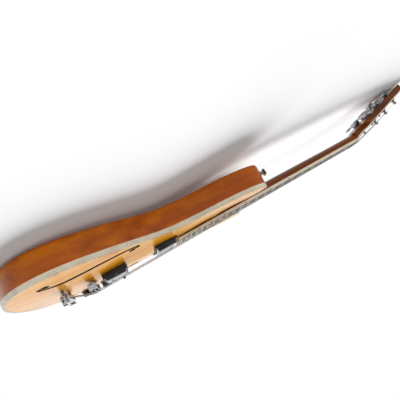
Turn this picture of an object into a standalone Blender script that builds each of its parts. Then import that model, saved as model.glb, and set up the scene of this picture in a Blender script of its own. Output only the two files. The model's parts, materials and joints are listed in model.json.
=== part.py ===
"""A semi-hollow electric guitar with an arched, bound top, modelled as its separate pieces.

X runs from the bridge towards the head, Y towards the bass side and Z out of the top.
The origin is on the flat back, on the centre line under the saddles. Lengths are in metres.
"""

from math import asin, atan2, ceil, cos, pi, radians, sin

import bmesh
import bpy
import numpy as np
from mathutils import Matrix, Vector

# Fits between pieces
SEAT = 0.0003
HOLE_CLEAR = 0.0003
SLIDE_CLEAR = 0.0005

# Scale and frets
SCALE_LENGTH = 0.62865
FRET_COUNT = 22
JOINT_FRET = 16
BOARD_OVERHANG = 0.0048
BOARD_THICKNESS = 0.0066
BOARD_RADIUS = 0.305
BOARD_BINDING = 0.0015
NUT_HALF = 0.0215
BOARD_END_HALF = 0.0282
FRET_HEIGHT = 0.001
FRET_FOOT = 0.0012
FRET_CROWN = 0.00055
NUT_THICKNESS = 0.005
NUT_LAND = 0.0006
ACTION_NUT = 0.0004
ACTION_TWELFTH = 0.002

# Body, seen from the front
TAIL_X = -0.138
TAIL_ROUND = 0.120
LOWER_X = -0.037
LOWER_HALF = 0.195
LOWER_ROUND_TAIL = 0.060
LOWER_ROUND_WAIST = 0.075
WAIST_X = 0.162
WAIST_HALF = 0.100
WAIST_ROUND = 0.045
UPPER_X = 0.295
UPPER_HALF = 0.126
UPPER_ROUND_WAIST = 0.050
UPPER_ROUND_HORN = 0.030
HORN_X = 0.345
HORN_Y = 0.099
HORN_ROUND = 0.017
CUTAWAY_X = 0.295
CUTAWAY_Y = 0.068
CUTAWAY_ROUND = 0.025
CROTCH_ROUND = 0.022
CURVE_STEPS = 6

# Body, through its depth
RIM_DEPTH = 0.0457
BACK_PLATE = 0.006
BACK_ROUND = 0.006
BACK_ROUND_STEPS = 3
RIM_WALL = 0.012
BLOCK_HALF = 0.045
HORN_SOLID = 0.045
ARCH_RISE = 0.0125
ARCH_SPAN = 0.160
ARCH_CELL = 0.0165
HOLLOW_CELL = 0.024
TOP_EDGE = 0.0074
TOP_PLATE = 0.006
BINDING_WIDTH = 0.002
BINDING_ROUND = 0.0012

# Sound-holes, on the bass side and mirrored on the treble side
SLIT_Y = 0.118
SLIT_TAIL_X = -0.035
SLIT_HEAD_X = 0.062
SLIT_HALF = 0.004
SLIT_END_HALF = 0.0016
HOOK_REACH = 0.031
HOOK_SHIFT = 0.0105
EYELET_RADIUS = 0.006
EYELET_REACH = 0.020
EYELET_SHIFT = 0.0175

# Neck and headstock
NECK_STEP = 0.00136
NECK_DEPTH_NUT = 0.0145
NECK_DEPTH_TWELFTH = 0.0172
HEEL_LENGTH = 0.018
HEEL_TAPER = 0.032
TENON_HALF = 0.019
TENON_DEPTH = 0.025
TENON_LENGTH = 0.072
TENON_DROP = 0.0005
HEAD_ANGLE = radians(16.0)
HEAD_LENGTH = 0.175
HEAD_THICKNESS = 0.012
HEAD_FACE = 0.0024
HEAD_BINDING = 0.0016
HEAD_THROAT = 0.030
HEAD_SHOULDER_HALF = 0.035
HEAD_TIP_HALF = 0.042
HEAD_CROWN = 0.008
ROD_RADIUS = 0.003
ROD_DEPTH = 0.006
ROD_NUT_RADIUS = 0.0042
ROD_NUT_LENGTH = 0.012
ROD_POCKET_LENGTH = 0.034
ROD_POCKET_HALF = 0.0065
COVER_LENGTH = 0.044
COVER_HALF = 0.0125
COVER_TIP_HALF = 0.005
COVER_THICKNESS = 0.002

# Tuners
POST_SPACING = 0.036
FIRST_POST = 0.058
POST_Y = 0.025
POST_FLARE = 0.003
POST_RADIUS = 0.003
POST_HEIGHT = 0.012
POST_DEPTH = 0.006
SLEEVE_RADIUS = 0.005
SLEEVE_NUT_RADIUS = 0.007
SLEEVE_NUT_HEIGHT = 0.0025
HOUSING_LENGTH = 0.0155
HOUSING_WIDTH = 0.0175
HOUSING_HEIGHT = 0.0118
HOUSING_ROUND = 0.0025
WORM_OFFSET = 0.0055
SHAFT_RADIUS = 0.0021
SHAFT_GRIP = 0.005
SHAFT_LENGTH = 0.0085
BUTTON_LENGTH = 0.0105
BUTTON_WIDTH = 0.0075
BUTTON_THICKNESS = 0.0034

# Strings, from the thickest to the thinnest
STRING_RADII = (0.000584, 0.000457, 0.00033, 0.000216, 0.000165, 0.000127)
STRING_SPREAD_BRIDGE = 0.0104
STRING_SPREAD_NUT = 0.0070
BALL_RADIUS = 0.0019
BALL_LENGTH = 0.0034
WINDING_TURNS = 2.25
WINDING_GAP = 0.0005
WINDING_TOP = 0.0095

# Bridge
POST_PITCH = 0.074
WHEEL_CLEAR = 0.0030
WHEEL_RADIUS = 0.0085
WHEEL_THICKNESS = 0.003
SHANK_RADIUS = 0.0032
SHANK_LENGTH = 0.026
STUB_RADIUS = 0.0022
STUB_HEIGHT = 0.0045
BRIDGE_DROP = 0.0025
BEAM_LENGTH = 0.092
BEAM_WIDTH = 0.0145
BEAM_HEIGHT = 0.0086
BEAM_END_HEIGHT = 0.0072
CHANNEL_WIDTH = 0.0112
CHANNEL_LENGTH = 0.0635
CHANNEL_DEPTH = 0.0050
SADDLE_PROUD = 0.0030
SADDLE_LENGTH = 0.0044
SADDLE_WIDTH = 0.0082
SADDLE_RIDGE = 0.0008
SADDLE_TRAVEL = 0.003

# Tailpiece
TAILPIECE_X = -0.048
STUD_PITCH = 0.082
BAR_LENGTH = 0.0895
BAR_WIDTH = 0.015
BAR_THICKNESS = 0.012
BAR_ROUND = 0.0045
BAR_LIFT = 0.006
STUD_NECK = 0.0036
STUD_HEAD = 0.0066
STUD_HEAD_HEIGHT = 0.0022
STUD_COLLAR = 0.0058
STUD_COLLAR_HEIGHT = 0.0018
STUD_SHANK = 0.0036
STUD_DEPTH = 0.018

# Pickups
BRIDGE_PICKUP_X = 0.043
NECK_PICKUP_X = 0.146
RING_HALF = 0.045
RING_LENGTH = 0.046
RING_CORNER = 0.003
RING_DEPTH = 0.020
BRIDGE_RING_HEIGHT = 0.0094
NECK_RING_HEIGHT = 0.0046
BRIDGE_RING_TILT = radians(1.5)
NECK_RING_TILT = radians(4.5)
PICKUP_HALF = 0.035
PICKUP_LENGTH = 0.038
PICKUP_HEIGHT = 0.016
PICKUP_ROUND = 0.002
PICKUP_GAP = 0.004
PICKUP_LOWER = 0.003

# Controls
KNOB_PLACES = ((-0.070, -0.150), (-0.026, -0.160), (0.018, -0.152))
KNOB_RADIUS = 0.0122
KNOB_TOP_RADIUS = 0.0096
KNOB_HEIGHT = 0.0125
KNOB_SKIRT = 0.0022
KNOB_HOLLOW = 0.0058
KNOB_WALL = 0.0022
KNOB_CLEAR = 0.0005
CONTROL_SHAFT = 0.003
CONTROL_SHAFT_GRIP = 0.006
BUSHING_RADIUS = 0.0047
BUSHING_RISE = 0.0042
CONTROL_NUT_RADIUS = 0.0075
CONTROL_NUT_HEIGHT = 0.002
CAN_RADIUS = 0.012
CAN_HEIGHT = 0.009
WIRE_RADIUS = 0.0012
TOGGLE_X = 0.056
TOGGLE_Y = -0.092
TOGGLE_TIP_HEIGHT = 0.018
TOGGLE_TIP_LENGTH = 0.009
TOGGLE_TIP_RADIUS = 0.0034
TOGGLE_LEVER_RADIUS = 0.0013
TOGGLE_BALL = 0.003
TOGGLE_NUT_RADIUS = 0.008
TOGGLE_NUT_HEIGHT = 0.0022
TOGGLE_BUSHING = 0.006
TOGGLE_BODY = (0.016, 0.020, 0.022)

# Output jack and strap buttons
JACK_HEIGHT = 0.021
JACK_PLATE = 0.032
JACK_PLATE_THICKNESS = 0.0016
JACK_RECESS = 0.0012
JACK_CAN_RADIUS = 0.0085
JACK_CAN_LENGTH = 0.021
JACK_NUT_RADIUS = 0.0068
JACK_NUT_HEIGHT = 0.0028
JACK_BORE = 0.0033
JACK_BORE_DEPTH = 0.018
STRAP_HEIGHT = 0.0185
STRAP_BASE = 0.0065
STRAP_WAIST = 0.0038
STRAP_HEAD = 0.0072
STRAP_LENGTH = 0.0125
STRAP_SCREW_RADIUS = 0.0018
STRAP_SCREW_LENGTH = 0.020
STRAP_RECESS_HORN = 0.0015
STRAP_RECESS_TAIL = 0.0002

for leftover in list(bpy.data.objects):
    bpy.data.objects.remove(leftover)

PARTS = bpy.data.collections.new("semi_hollow_guitar")
CUTTERS = bpy.data.collections.new("cutters")
bpy.context.scene.collection.children.link(PARTS)
bpy.context.scene.collection.children.link(CUTTERS)


def material(name, colour, roughness, metallic=0.0):
    """Principled material of one finish."""
    made = bpy.data.materials.new(name)
    made.use_nodes = True
    shader = made.node_tree.nodes["Principled BSDF"]
    shader.inputs["Base Color"].default_value = (*colour, 1.0)
    shader.inputs["Roughness"].default_value = roughness
    shader.inputs["Metallic"].default_value = metallic
    return made


MAHOGANY = material("mahogany", (0.30, 0.09, 0.02), 0.25)
NECK_WOOD = material("neck_mahogany", (0.10, 0.03, 0.01), 0.3)
AMBER_MAPLE = material("amber_maple", (0.85, 0.42, 0.05), 0.2)
CREAM = material("cream_binding", (0.80, 0.70, 0.52), 0.35)
ROSEWOOD = material("rosewood", (0.06, 0.03, 0.02), 0.5)
BONE = material("bone", (0.85, 0.80, 0.68), 0.4)
BLACK = material("black_plastic", (0.01, 0.01, 0.01), 0.3)
CHROME = material("chrome", (0.8, 0.8, 0.8), 0.1, 1.0)
STEEL = material("string_steel", (0.6, 0.6, 0.6), 0.25, 1.0)


# Objects and shapes


def add_object(name, data, finish=None, parent=None, place=(0.0, 0.0, 0.0), turn=(0.0, 0.0, 0.0)):
    """Object in the guitar's collection, or a hidden cutter where it has no finish."""
    made = bpy.data.objects.new(name, data)
    made.location = place
    made.rotation_euler = turn
    made.parent = parent
    if finish is None:
        CUTTERS.objects.link(made)
        made.hide_render = True
        made.display_type = "WIRE"
    else:
        PARTS.objects.link(made)
        if not data.materials:
            data.materials.append(finish)
    return made


def anchor(name, place, turn=(0.0, 0.0, 0.0), parent=None):
    """Empty that carries the pieces placed in its own frame."""
    made = bpy.data.objects.new(name, None)
    made.location = place
    made.rotation_euler = turn
    made.parent = parent
    PARTS.objects.link(made)
    return made


def finished(bm, name, smooth=True):
    """Mesh from a bmesh, facing outwards."""
    bmesh.ops.recalc_face_normals(bm, faces=bm.faces)
    mesh = bpy.data.meshes.new(name)
    bm.to_mesh(mesh)
    bm.free()
    if smooth:
        mesh.shade_smooth()
        mesh.set_sharp_from_angle(angle=radians(35))
    return mesh


def box_mesh(name, size, centre=(0.0, 0.0, 0.0), rounding=0.0, segments=2):
    """Box of a full size about a centre, with its edges rounded if asked."""
    bm = bmesh.new()
    bmesh.ops.create_cube(bm, size=1.0)
    bmesh.ops.scale(bm, vec=size, verts=bm.verts)
    bmesh.ops.translate(bm, vec=centre, verts=bm.verts)
    if rounding:
        bmesh.ops.bevel(
            bm, geom=bm.edges[:], offset=rounding, segments=segments, profile=0.5, affect="EDGES"
        )
    return finished(bm, name)


def cylinder_mesh(name, radius, low, high, sides=24, centre=(0.0, 0.0), top_radius=None):
    """Upright cylinder, or a cone with another radius at its top."""
    bm = bmesh.new()
    upper = radius if top_radius is None else top_radius
    bmesh.ops.create_cone(
        bm, cap_ends=True, segments=sides, radius1=radius, radius2=upper, depth=high - low
    )
    bmesh.ops.translate(bm, vec=(centre[0], centre[1], (low + high) / 2), verts=bm.verts)
    return finished(bm, name)


def loft_mesh(name, sections, closed=False):
    """Skin over successive loops of points, with flat ends unless the run closes on itself."""
    bm = bmesh.new()
    rings = [[bm.verts.new(point) for point in section] for section in sections]
    following = rings[1:] + rings[:1] if closed else rings[1:]
    for ring, other in zip(rings, following):
        for i in range(len(ring)):
            j = (i + 1) % len(ring)
            bm.faces.new((ring[i], ring[j], other[j], other[i]))
    if not closed:
        bm.faces.new(rings[0])
        bm.faces.new(rings[-1])
    return finished(bm, name)


def plate_mesh(name, loops, low, high):
    """Flat outline, with any holes, between two heights."""
    curve = bpy.data.curves.new(name, "CURVE")
    curve.dimensions = "2D"
    curve.fill_mode = "BOTH"
    curve.extrude = (high - low) / 2
    for loop in loops:
        spline = curve.splines.new("POLY")
        spline.points.add(len(loop) - 1)
        for point, (x, y) in zip(spline.points, loop):
            point.co = (x, y, 0.0, 1.0)
        spline.use_cyclic_u = True
    drawn = bpy.data.objects.new(name, curve)
    bpy.context.scene.collection.objects.link(drawn)
    evaluated = drawn.evaluated_get(bpy.context.evaluated_depsgraph_get())
    mesh = bpy.data.meshes.new_from_object(evaluated)
    bpy.data.objects.remove(drawn)
    bpy.data.curves.remove(curve)
    bm = bmesh.new()
    bm.from_mesh(mesh)
    bpy.data.meshes.remove(mesh)
    bmesh.ops.remove_doubles(bm, verts=bm.verts, dist=1e-6)
    bmesh.ops.translate(bm, vec=(0.0, 0.0, (low + high) / 2), verts=bm.verts)
    return finished(bm, name)


def turned_mesh(name, profile, sides=24):
    """Profile of (radius, height) points, listed down its outer side, revolved about Z."""
    mesh = bpy.data.meshes.new(name)
    edges = [(i, i + 1) for i in range(len(profile) - 1)]
    mesh.from_pydata([(r, 0.0, z) for r, z in profile], edges, [])
    lathe = bpy.data.objects.new(name, mesh)
    bpy.context.scene.collection.objects.link(lathe)
    screw = lathe.modifiers.new("screw", "SCREW")
    screw.steps = sides
    screw.render_steps = sides
    screw.use_merge_vertices = True
    screw.merge_threshold = 1e-6
    evaluated = lathe.evaluated_get(bpy.context.evaluated_depsgraph_get())
    revolved = bpy.data.meshes.new_from_object(evaluated)
    bpy.data.objects.remove(lathe)
    bpy.data.meshes.remove(mesh)
    bm = bmesh.new()
    bm.from_mesh(revolved)
    bpy.data.meshes.remove(revolved)
    bmesh.ops.remove_doubles(bm, verts=bm.verts, dist=1e-7)
    return finished(bm, name)


def wire_curve(name, points, radius, radii=None, sides_level=1):
    """Round wire along points, whose thickness can differ from point to point."""
    curve = bpy.data.curves.new(name, "CURVE")
    curve.dimensions = "3D"
    curve.bevel_depth = radius
    curve.bevel_resolution = sides_level
    curve.use_fill_caps = True
    spline = curve.splines.new("POLY")
    spline.points.add(len(points) - 1)
    for i, (point, spot) in enumerate(zip(spline.points, points)):
        point.co = (*spot, 1.0)
        point.radius = 1.0 if radii is None else radii[i] / radius
    return curve


def combine(target, other, operation):
    """Boolean of one object on another, as a modifier."""
    modifier = target.modifiers.new(f"{operation.lower()}_{other.name}", "BOOLEAN")
    modifier.operation = operation
    modifier.object = other
    modifier.solver = "EXACT"


def cut(target, *cutters):
    """Take each cutter out of a piece."""
    for cutter in cutters:
        combine(target, cutter, "DIFFERENCE")


def join(target, *others):
    """Grow a piece by each helper solid."""
    for other in others:
        combine(target, other, "UNION")


# Body outline and arch


def bezier(start, leaving, arriving, end, steps):
    """Points along a cubic curve, without its last one."""
    t = np.linspace(0.0, 1.0, steps, endpoint=False)[:, None]
    mixed = (
        (1 - t) ** 3 * np.array(start)
        + 3 * (1 - t) ** 2 * t * np.array(leaving)
        + 3 * (1 - t) * t**2 * np.array(arriving)
        + t**3 * np.array(end)
    )
    return mixed


def curve_through(knots, steps):
    """Curve through knots of (point, heading, handle before, handle after)."""
    runs = []
    for (start, out, _, reach), (end, into, back, _) in zip(knots, knots[1:]):
        leaving = np.array(start) + np.array(out) * reach
        arriving = np.array(end) - np.array(into) * back
        runs.append(bezier(start, leaving, arriving, end, steps))
    runs.append(np.array([knots[-1][0]]))
    return np.concatenate(runs)


def fret_distance(number):
    """Distance of a fret from the nut along the strings."""
    return SCALE_LENGTH * (1 - 2 ** (-number / 12))


def board_half(distance):
    """Half width of the bound fretboard at a distance from the nut."""
    return NUT_HALF + (BOARD_END_HALF - NUT_HALF) * distance / BOARD_LENGTH


BOARD_LENGTH = fret_distance(FRET_COUNT) + BOARD_OVERHANG
JOINT_X = SCALE_LENGTH - fret_distance(JOINT_FRET)
CROTCH_Y = board_half(fret_distance(JOINT_FRET)) + SEAT

BASS_EDGE = curve_through(
    (
        ((TAIL_X, 0.0), (0, 1), 0.0, TAIL_ROUND),
        ((LOWER_X, LOWER_HALF), (1, 0), LOWER_ROUND_TAIL, LOWER_ROUND_WAIST),
        ((WAIST_X, WAIST_HALF), (1, 0), WAIST_ROUND, WAIST_ROUND),
        ((UPPER_X, UPPER_HALF), (1, 0), UPPER_ROUND_WAIST, UPPER_ROUND_HORN),
        ((HORN_X, HORN_Y), (0, -1), HORN_ROUND, HORN_ROUND),
        ((CUTAWAY_X, CUTAWAY_Y), (-1, 0), CUTAWAY_ROUND, CUTAWAY_ROUND),
        ((JOINT_X, CROTCH_Y), (0, -1), CROTCH_ROUND, 0.0),
    ),
    CURVE_STEPS,
)
TREBLE_EDGE = BASS_EDGE[:0:-1] * (1, -1)
OUTLINE = np.concatenate([BASS_EDGE, TREBLE_EDGE])


def inset(loop, distance):
    """Closed loop moved inwards by a distance, square to its edges."""
    before = loop - np.roll(loop, 1, axis=0)
    after = np.roll(loop, -1, axis=0) - loop
    before /= np.linalg.norm(before, axis=1, keepdims=True)
    after /= np.linalg.norm(after, axis=1, keepdims=True)
    mean = before + after
    mean /= np.linalg.norm(mean, axis=1, keepdims=True)
    area = np.sum(loop[:, 0] * np.roll(loop[:, 1], -1) - np.roll(loop[:, 0], -1) * loop[:, 1])
    normal = np.sign(area) * np.stack([-mean[:, 1], mean[:, 0]], axis=1)
    spread = np.sum(mean * after, axis=1, keepdims=True)
    return loop + normal * distance / spread


def edge_distance(points):
    """Distance of each (x, y) point from the body's edge, zero outside it."""
    start = OUTLINE
    span = np.roll(OUTLINE, -1, axis=0) - OUTLINE
    reach = points[:, None, :] - start[None]
    share = np.clip(np.sum(reach * span, axis=2) / np.sum(span * span, axis=1), 0.0, 1.0)
    gap = np.linalg.norm(reach - share[..., None] * span, axis=2).min(axis=1)
    above = reach[..., 1] < 0.0
    end_above = above.shape and (points[:, None, 1] < (start + span)[None, :, 1])
    crossing_x = start[:, 0] + span[:, 0] * reach[..., 1] / np.where(span[:, 1] == 0, 1.0, span[:, 1])
    crosses = (above != end_above) & (points[:, None, 0] < crossing_x)
    inside = np.sum(crosses, axis=1) % 2 == 1
    return np.where(inside, gap, 0.0)


def arch_heights(points):
    """Height of the arched top over each (x, y) point."""
    share = np.clip(edge_distance(np.atleast_2d(points)) / ARCH_SPAN, 0.0, 1.0)
    return RIM_DEPTH + ARCH_RISE * (1 - np.cos(pi * share)) / 2


def arch_range(x, y, radius):
    """Lowest and highest point of the arch under a disc."""
    turn = np.linspace(0.0, 2 * pi, 16, endpoint=False)
    ring = np.stack([x + radius * np.cos(turn), y + radius * np.sin(turn)], axis=1)
    heights = arch_heights(np.concatenate([ring, [(x, y)]]))
    return float(heights.min()), float(heights.max())


def arch_mesh(name, lift, floor, cell):
    """Solid between a floor and the arched surface raised by a lift, over the whole body."""
    low = OUTLINE.min(axis=0) - cell
    high = OUTLINE.max(axis=0) + cell
    columns, rows = (ceil(side / cell) for side in high - low)
    bm = bmesh.new()
    bmesh.ops.create_grid(bm, x_segments=columns, y_segments=rows, size=0.5)
    half = max(abs(vertex.co.x) for vertex in bm.verts)
    middle = (low + high) / 2
    spots = np.array([vertex.co.xy for vertex in bm.verts]) / (2 * half) * (high - low) + middle
    for vertex, spot, height in zip(bm.verts, spots, arch_heights(spots)):
        vertex.co = (*spot, height + lift)
    extruded = bmesh.ops.extrude_face_region(bm, geom=bm.faces[:])["geom"]
    for vertex in (item for item in extruded if isinstance(item, bmesh.types.BMVert)):
        vertex.co.z = floor
    return finished(bm, name, smooth=False)


# Heights that follow from one another

BODY_SEAM = RIM_DEPTH - TOP_EDGE
POST_Y_BRIDGE = POST_PITCH / 2
WHEEL_LOW = arch_range(0.0, POST_Y_BRIDGE, WHEEL_RADIUS)[1] + WHEEL_CLEAR
BEAM_LOW = WHEEL_LOW + WHEEL_THICKNESS + SEAT
BEAM_TOP = BEAM_LOW + BEAM_HEIGHT
CHANNEL_FLOOR = BEAM_TOP - CHANNEL_DEPTH
RIDGE_TOP = BEAM_TOP + SADDLE_PROUD
STRING_OVER_BOARD = FRET_HEIGHT + ACTION_NUT + 2 * (ACTION_TWELFTH - ACTION_NUT)
GLUE_AT_JOINT = RIM_DEPTH + NECK_STEP
NECK_ANGLE = asin(
    (RIDGE_TOP + SEAT - GLUE_AT_JOINT - BOARD_THICKNESS - STRING_OVER_BOARD) / JOINT_X
)
NUT_X = SCALE_LENGTH * cos(NECK_ANGLE)
GLUE_AT_NUT = GLUE_AT_JOINT - (NUT_X - JOINT_X) * sin(NECK_ANGLE) / cos(NECK_ANGLE)

NECK_PLANE = anchor("neck_plane", (NUT_X, 0.0, GLUE_AT_NUT), (0.0, NECK_ANGLE, 0.0))
HEAD_PLANE = anchor(
    "headstock_plane", (NUT_THICKNESS, 0.0, 0.0), (0.0, HEAD_ANGLE, 0.0), NECK_PLANE
)
NECK_MATRIX = Matrix.Translation((NUT_X, 0.0, GLUE_AT_NUT)) @ Matrix.Rotation(NECK_ANGLE, 4, "Y")
HEAD_MATRIX = NECK_MATRIX @ Matrix.Translation((NUT_THICKNESS, 0.0, 0.0)) @ Matrix.Rotation(
    HEAD_ANGLE, 4, "Y"
)
HEAD_BACK = -(HEAD_FACE + SEAT + HEAD_THICKNESS)


def crown(y):
    """Drop of the fretboard's curved top away from its centre line."""
    return y * y / (2 * BOARD_RADIUS)


# Body


def build_body():
    """Back-and-sides shell, arched top and the top's binding."""
    seam_outline = inset(OUTLINE, BINDING_WIDTH + SEAT)
    sections = []
    for step in range(BACK_ROUND_STEPS + 1):
        turn = pi / 2 * step / BACK_ROUND_STEPS
        ring = inset(OUTLINE, BACK_ROUND * (1 - sin(turn)))
        sections.append([(x, y, BACK_ROUND * (1 - cos(turn))) for x, y in ring])
    sections.append([(x, y, BODY_SEAM) for x, y in OUTLINE])
    back = add_object("body_back", loft_mesh("body_back", sections), MAHOGANY)

    top = add_object(
        "body_top", arch_mesh("body_top", 0.0, BODY_SEAM + SEAT, ARCH_CELL), AMBER_MAPLE
    )
    trim = plate_mesh("top_trim", [seam_outline], BACK_PLATE, RIM_DEPTH + 2 * ARCH_RISE)
    combine(top, add_object("top_trim", trim), "INTERSECT")

    binding_low = BODY_SEAM + SEAT
    binding = add_object(
        "top_binding", loft_mesh("top_binding", binding_sections(binding_low), closed=True), CREAM
    )
    return back, top, binding


def binding_sections(low):
    """Sections of the binding round the outline, with its outer upper edge rounded."""
    rounding = [
        (BINDING_ROUND * (1 - sin(turn)), RIM_DEPTH - BINDING_ROUND * (1 - cos(turn)))
        for turn in (0.0, pi / 4, pi / 2)
    ]
    profile = [(0.0, low)]
    profile += [(depth, height) for depth, height in reversed(rounding)]
    profile += [(BINDING_WIDTH, RIM_DEPTH), (BINDING_WIDTH, low)]
    rings = [(inset(OUTLINE, depth), height) for depth, height in profile]
    return [[(*ring[i], height) for ring, height in rings] for i in range(len(OUTLINE))]


def wing_chambers():
    """Space inside the rim on both sides of the centre block."""
    space = plate_mesh("chambers", [inset(OUTLINE, RIM_WALL)], BACK_PLATE, RIM_DEPTH + ARCH_RISE)
    chambers = add_object("chambers", space)
    length = HORN_X - TAIL_X
    tall = 2 * (RIM_DEPTH + ARCH_RISE)
    block = box_mesh("centre_block", (2 * length, 2 * BLOCK_HALF, 2 * tall))
    horns = box_mesh(
        "horn_ends", (HORN_SOLID, 3 * LOWER_HALF, 2 * tall), (HORN_X - HORN_SOLID / 2, 0.0, 0.0)
    )
    cut(chambers, add_object("centre_block", block), add_object("horn_ends", horns))
    return chambers


def sound_hole_path():
    """Centre line of the bass slit, from its tail hook to its head hook."""
    tail_hook = (SLIT_TAIL_X - HOOK_REACH, SLIT_Y + HOOK_SHIFT)
    head_hook = (SLIT_HEAD_X + HOOK_REACH, SLIT_Y - HOOK_SHIFT)
    tail_eye = (SLIT_TAIL_X - EYELET_REACH, SLIT_Y + EYELET_SHIFT)
    head_eye = (SLIT_HEAD_X + EYELET_REACH, SLIT_Y - EYELET_SHIFT)
    reach = HOOK_SHIFT / 2
    knots = (
        (tail_eye, (-1, 0), 0.0, reach),
        (tail_hook, (0, -1), reach, reach),
        ((SLIT_TAIL_X, SLIT_Y + SLIT_HALF / 4), (1, 0), HOOK_REACH / 2, HOOK_REACH / 2),
        ((SLIT_HEAD_X, SLIT_Y - SLIT_HALF / 4), (1, 0), HOOK_REACH / 2, HOOK_REACH / 2),
        (head_hook, (0, -1), reach, reach),
        (head_eye, (-1, 0), reach, 0.0),
    )
    return curve_through(knots, 4), (tail_eye, head_eye)


def sound_hole_cutters(side):
    """Slit and eyelets of one sound-hole, long enough to pass through the top."""
    path, eyes = sound_hole_path()
    path = path * (1, side)
    heading = np.gradient(path, axis=0)
    heading /= np.linalg.norm(heading, axis=1, keepdims=True)
    normal = np.stack([-heading[:, 1], heading[:, 0]], axis=1)
    along = np.linspace(0.0, 1.0, len(path))
    half = SLIT_END_HALF + (SLIT_HALF - SLIT_END_HALF) * np.sin(pi * along)[:, None]
    slit = np.concatenate([path + normal * half, (path - normal * half)[::-1]])
    name = "bass" if side > 0 else "treble"
    low = BODY_SEAM - SEAT
    high = RIM_DEPTH + 2 * ARCH_RISE
    found = [add_object(f"slit_{name}", plate_mesh(f"slit_{name}", [slit], low, high))]
    for i, (x, y) in enumerate(eyes):
        eye = cylinder_mesh(f"eyelet_{name}_{i}", EYELET_RADIUS, low, high, 16, (x, side * y))
        found.append(add_object(eye.name, eye))
    return found


# Neck, fretboard and headstock


def neck_section(matrix, half, depth, squareness, drop=0.0):
    """Loop of a neck section: a flat top and a rounded back."""
    loop = []
    for turn in np.linspace(0.0, pi, 13):
        y = half * np.sign(cos(turn)) * abs(cos(turn)) ** (2 / squareness)
        z = -depth * abs(sin(turn)) ** (2 / squareness)
        loop.append(matrix @ Vector((0.0, y, z - drop)))
    return loop


def neck_mesh():
    """Heel, shaft and the bend into the headstock, in the frame of the glue plane."""
    joint = -fret_distance(JOINT_FRET)
    heel_depth = GLUE_AT_JOINT - BACK_ROUND
    stations = (
        (joint - HEEL_TAPER / 4, heel_depth, 5.0),
        (joint + HEEL_LENGTH / 2, heel_depth, 5.0),
        (joint + HEEL_LENGTH, 0.9 * heel_depth, 4.0),
        (joint + HEEL_LENGTH + HEEL_TAPER / 4, 0.66 * heel_depth, 3.2),
        (joint + HEEL_LENGTH + HEEL_TAPER / 2, 0.52 * heel_depth, 2.6),
        (joint + HEEL_LENGTH + HEEL_TAPER, NECK_DEPTH_TWELFTH * 1.03, 2.3),
        (-fret_distance(12), NECK_DEPTH_TWELFTH, 2.2),
        (-fret_distance(6), (NECK_DEPTH_TWELFTH + NECK_DEPTH_NUT) / 2, 2.2),
        (-fret_distance(2), NECK_DEPTH_NUT, 2.2),
    )
    sections = []
    for x, depth, squareness in stations:
        place = Matrix.Translation((x, 0.0, 0.0))
        sections.append(neck_section(place, board_half(-x), depth, squareness))
    for share in (0.0, 0.35, 0.7, 1.0):
        x = NUT_THICKNESS - HEAD_THROAT * (1 - share)
        place = Matrix.Translation((x, 0.0, 0.0)) @ Matrix.Rotation(HEAD_ANGLE * share * 0.6, 4, "Y")
        sections.append(neck_section(place, board_half(max(-x, 0.0)), NECK_DEPTH_NUT, 2.3))
    tilted = Matrix.Translation((NUT_THICKNESS, 0.0, 0.0)) @ Matrix.Rotation(HEAD_ANGLE, 4, "Y")
    below = HEAD_FACE + 2 * SEAT
    for share, depth, squareness in ((0.25, 0.92, 2.6), (0.6, 0.86, 3.4), (1.0, 0.6, 4.0)):
        place = tilted @ Matrix.Translation((HEAD_THROAT * share, 0.0, 0.0))
        section_depth = (NECK_DEPTH_NUT - below) * depth / 0.92
        sections.append(neck_section(place, NUT_HALF, section_depth, squareness, below))
    return loft_mesh("neck", sections)


def head_edge():
    """Edge of the headstock from the nut's bass end round the tip to its treble end."""
    bass = curve_through(
        (
            ((SEAT, NUT_HALF), (1, 0), 0.0, 0.010),
            ((HEAD_THROAT, HEAD_SHOULDER_HALF - 0.004), (0.6, 0.8), 0.010, 0.008),
            ((HEAD_THROAT + 0.020, HEAD_SHOULDER_HALF + 0.001), (1, 0.07), 0.006, 0.030),
            ((HEAD_LENGTH - HEAD_CROWN, HEAD_TIP_HALF), (1, 0.05), 0.030, 0.0),
        ),
        4,
    )
    crown_arc = curve_through(
        (
            ((HEAD_LENGTH - HEAD_CROWN / 2, HEAD_TIP_HALF - 0.004), (0, -1), 0.0, HEAD_TIP_HALF / 3),
            ((HEAD_LENGTH, 0.0), (0, -1), HEAD_TIP_HALF / 3, HEAD_TIP_HALF / 3),
            ((HEAD_LENGTH - HEAD_CROWN / 2, 0.004 - HEAD_TIP_HALF), (0, -1), HEAD_TIP_HALF / 3, 0.0),
        ),
        4,
    )
    return np.concatenate([bass, crown_arc, bass[::-1] * (1, -1)])


def tuner_places():
    """(distance from the nut, side offset) of the six posts, from the thickest string on."""
    rows = [(FIRST_POST + i * POST_SPACING, POST_Y + i * POST_FLARE) for i in range(3)]
    return rows + [(s, -y) for s, y in reversed(rows)]


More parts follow.
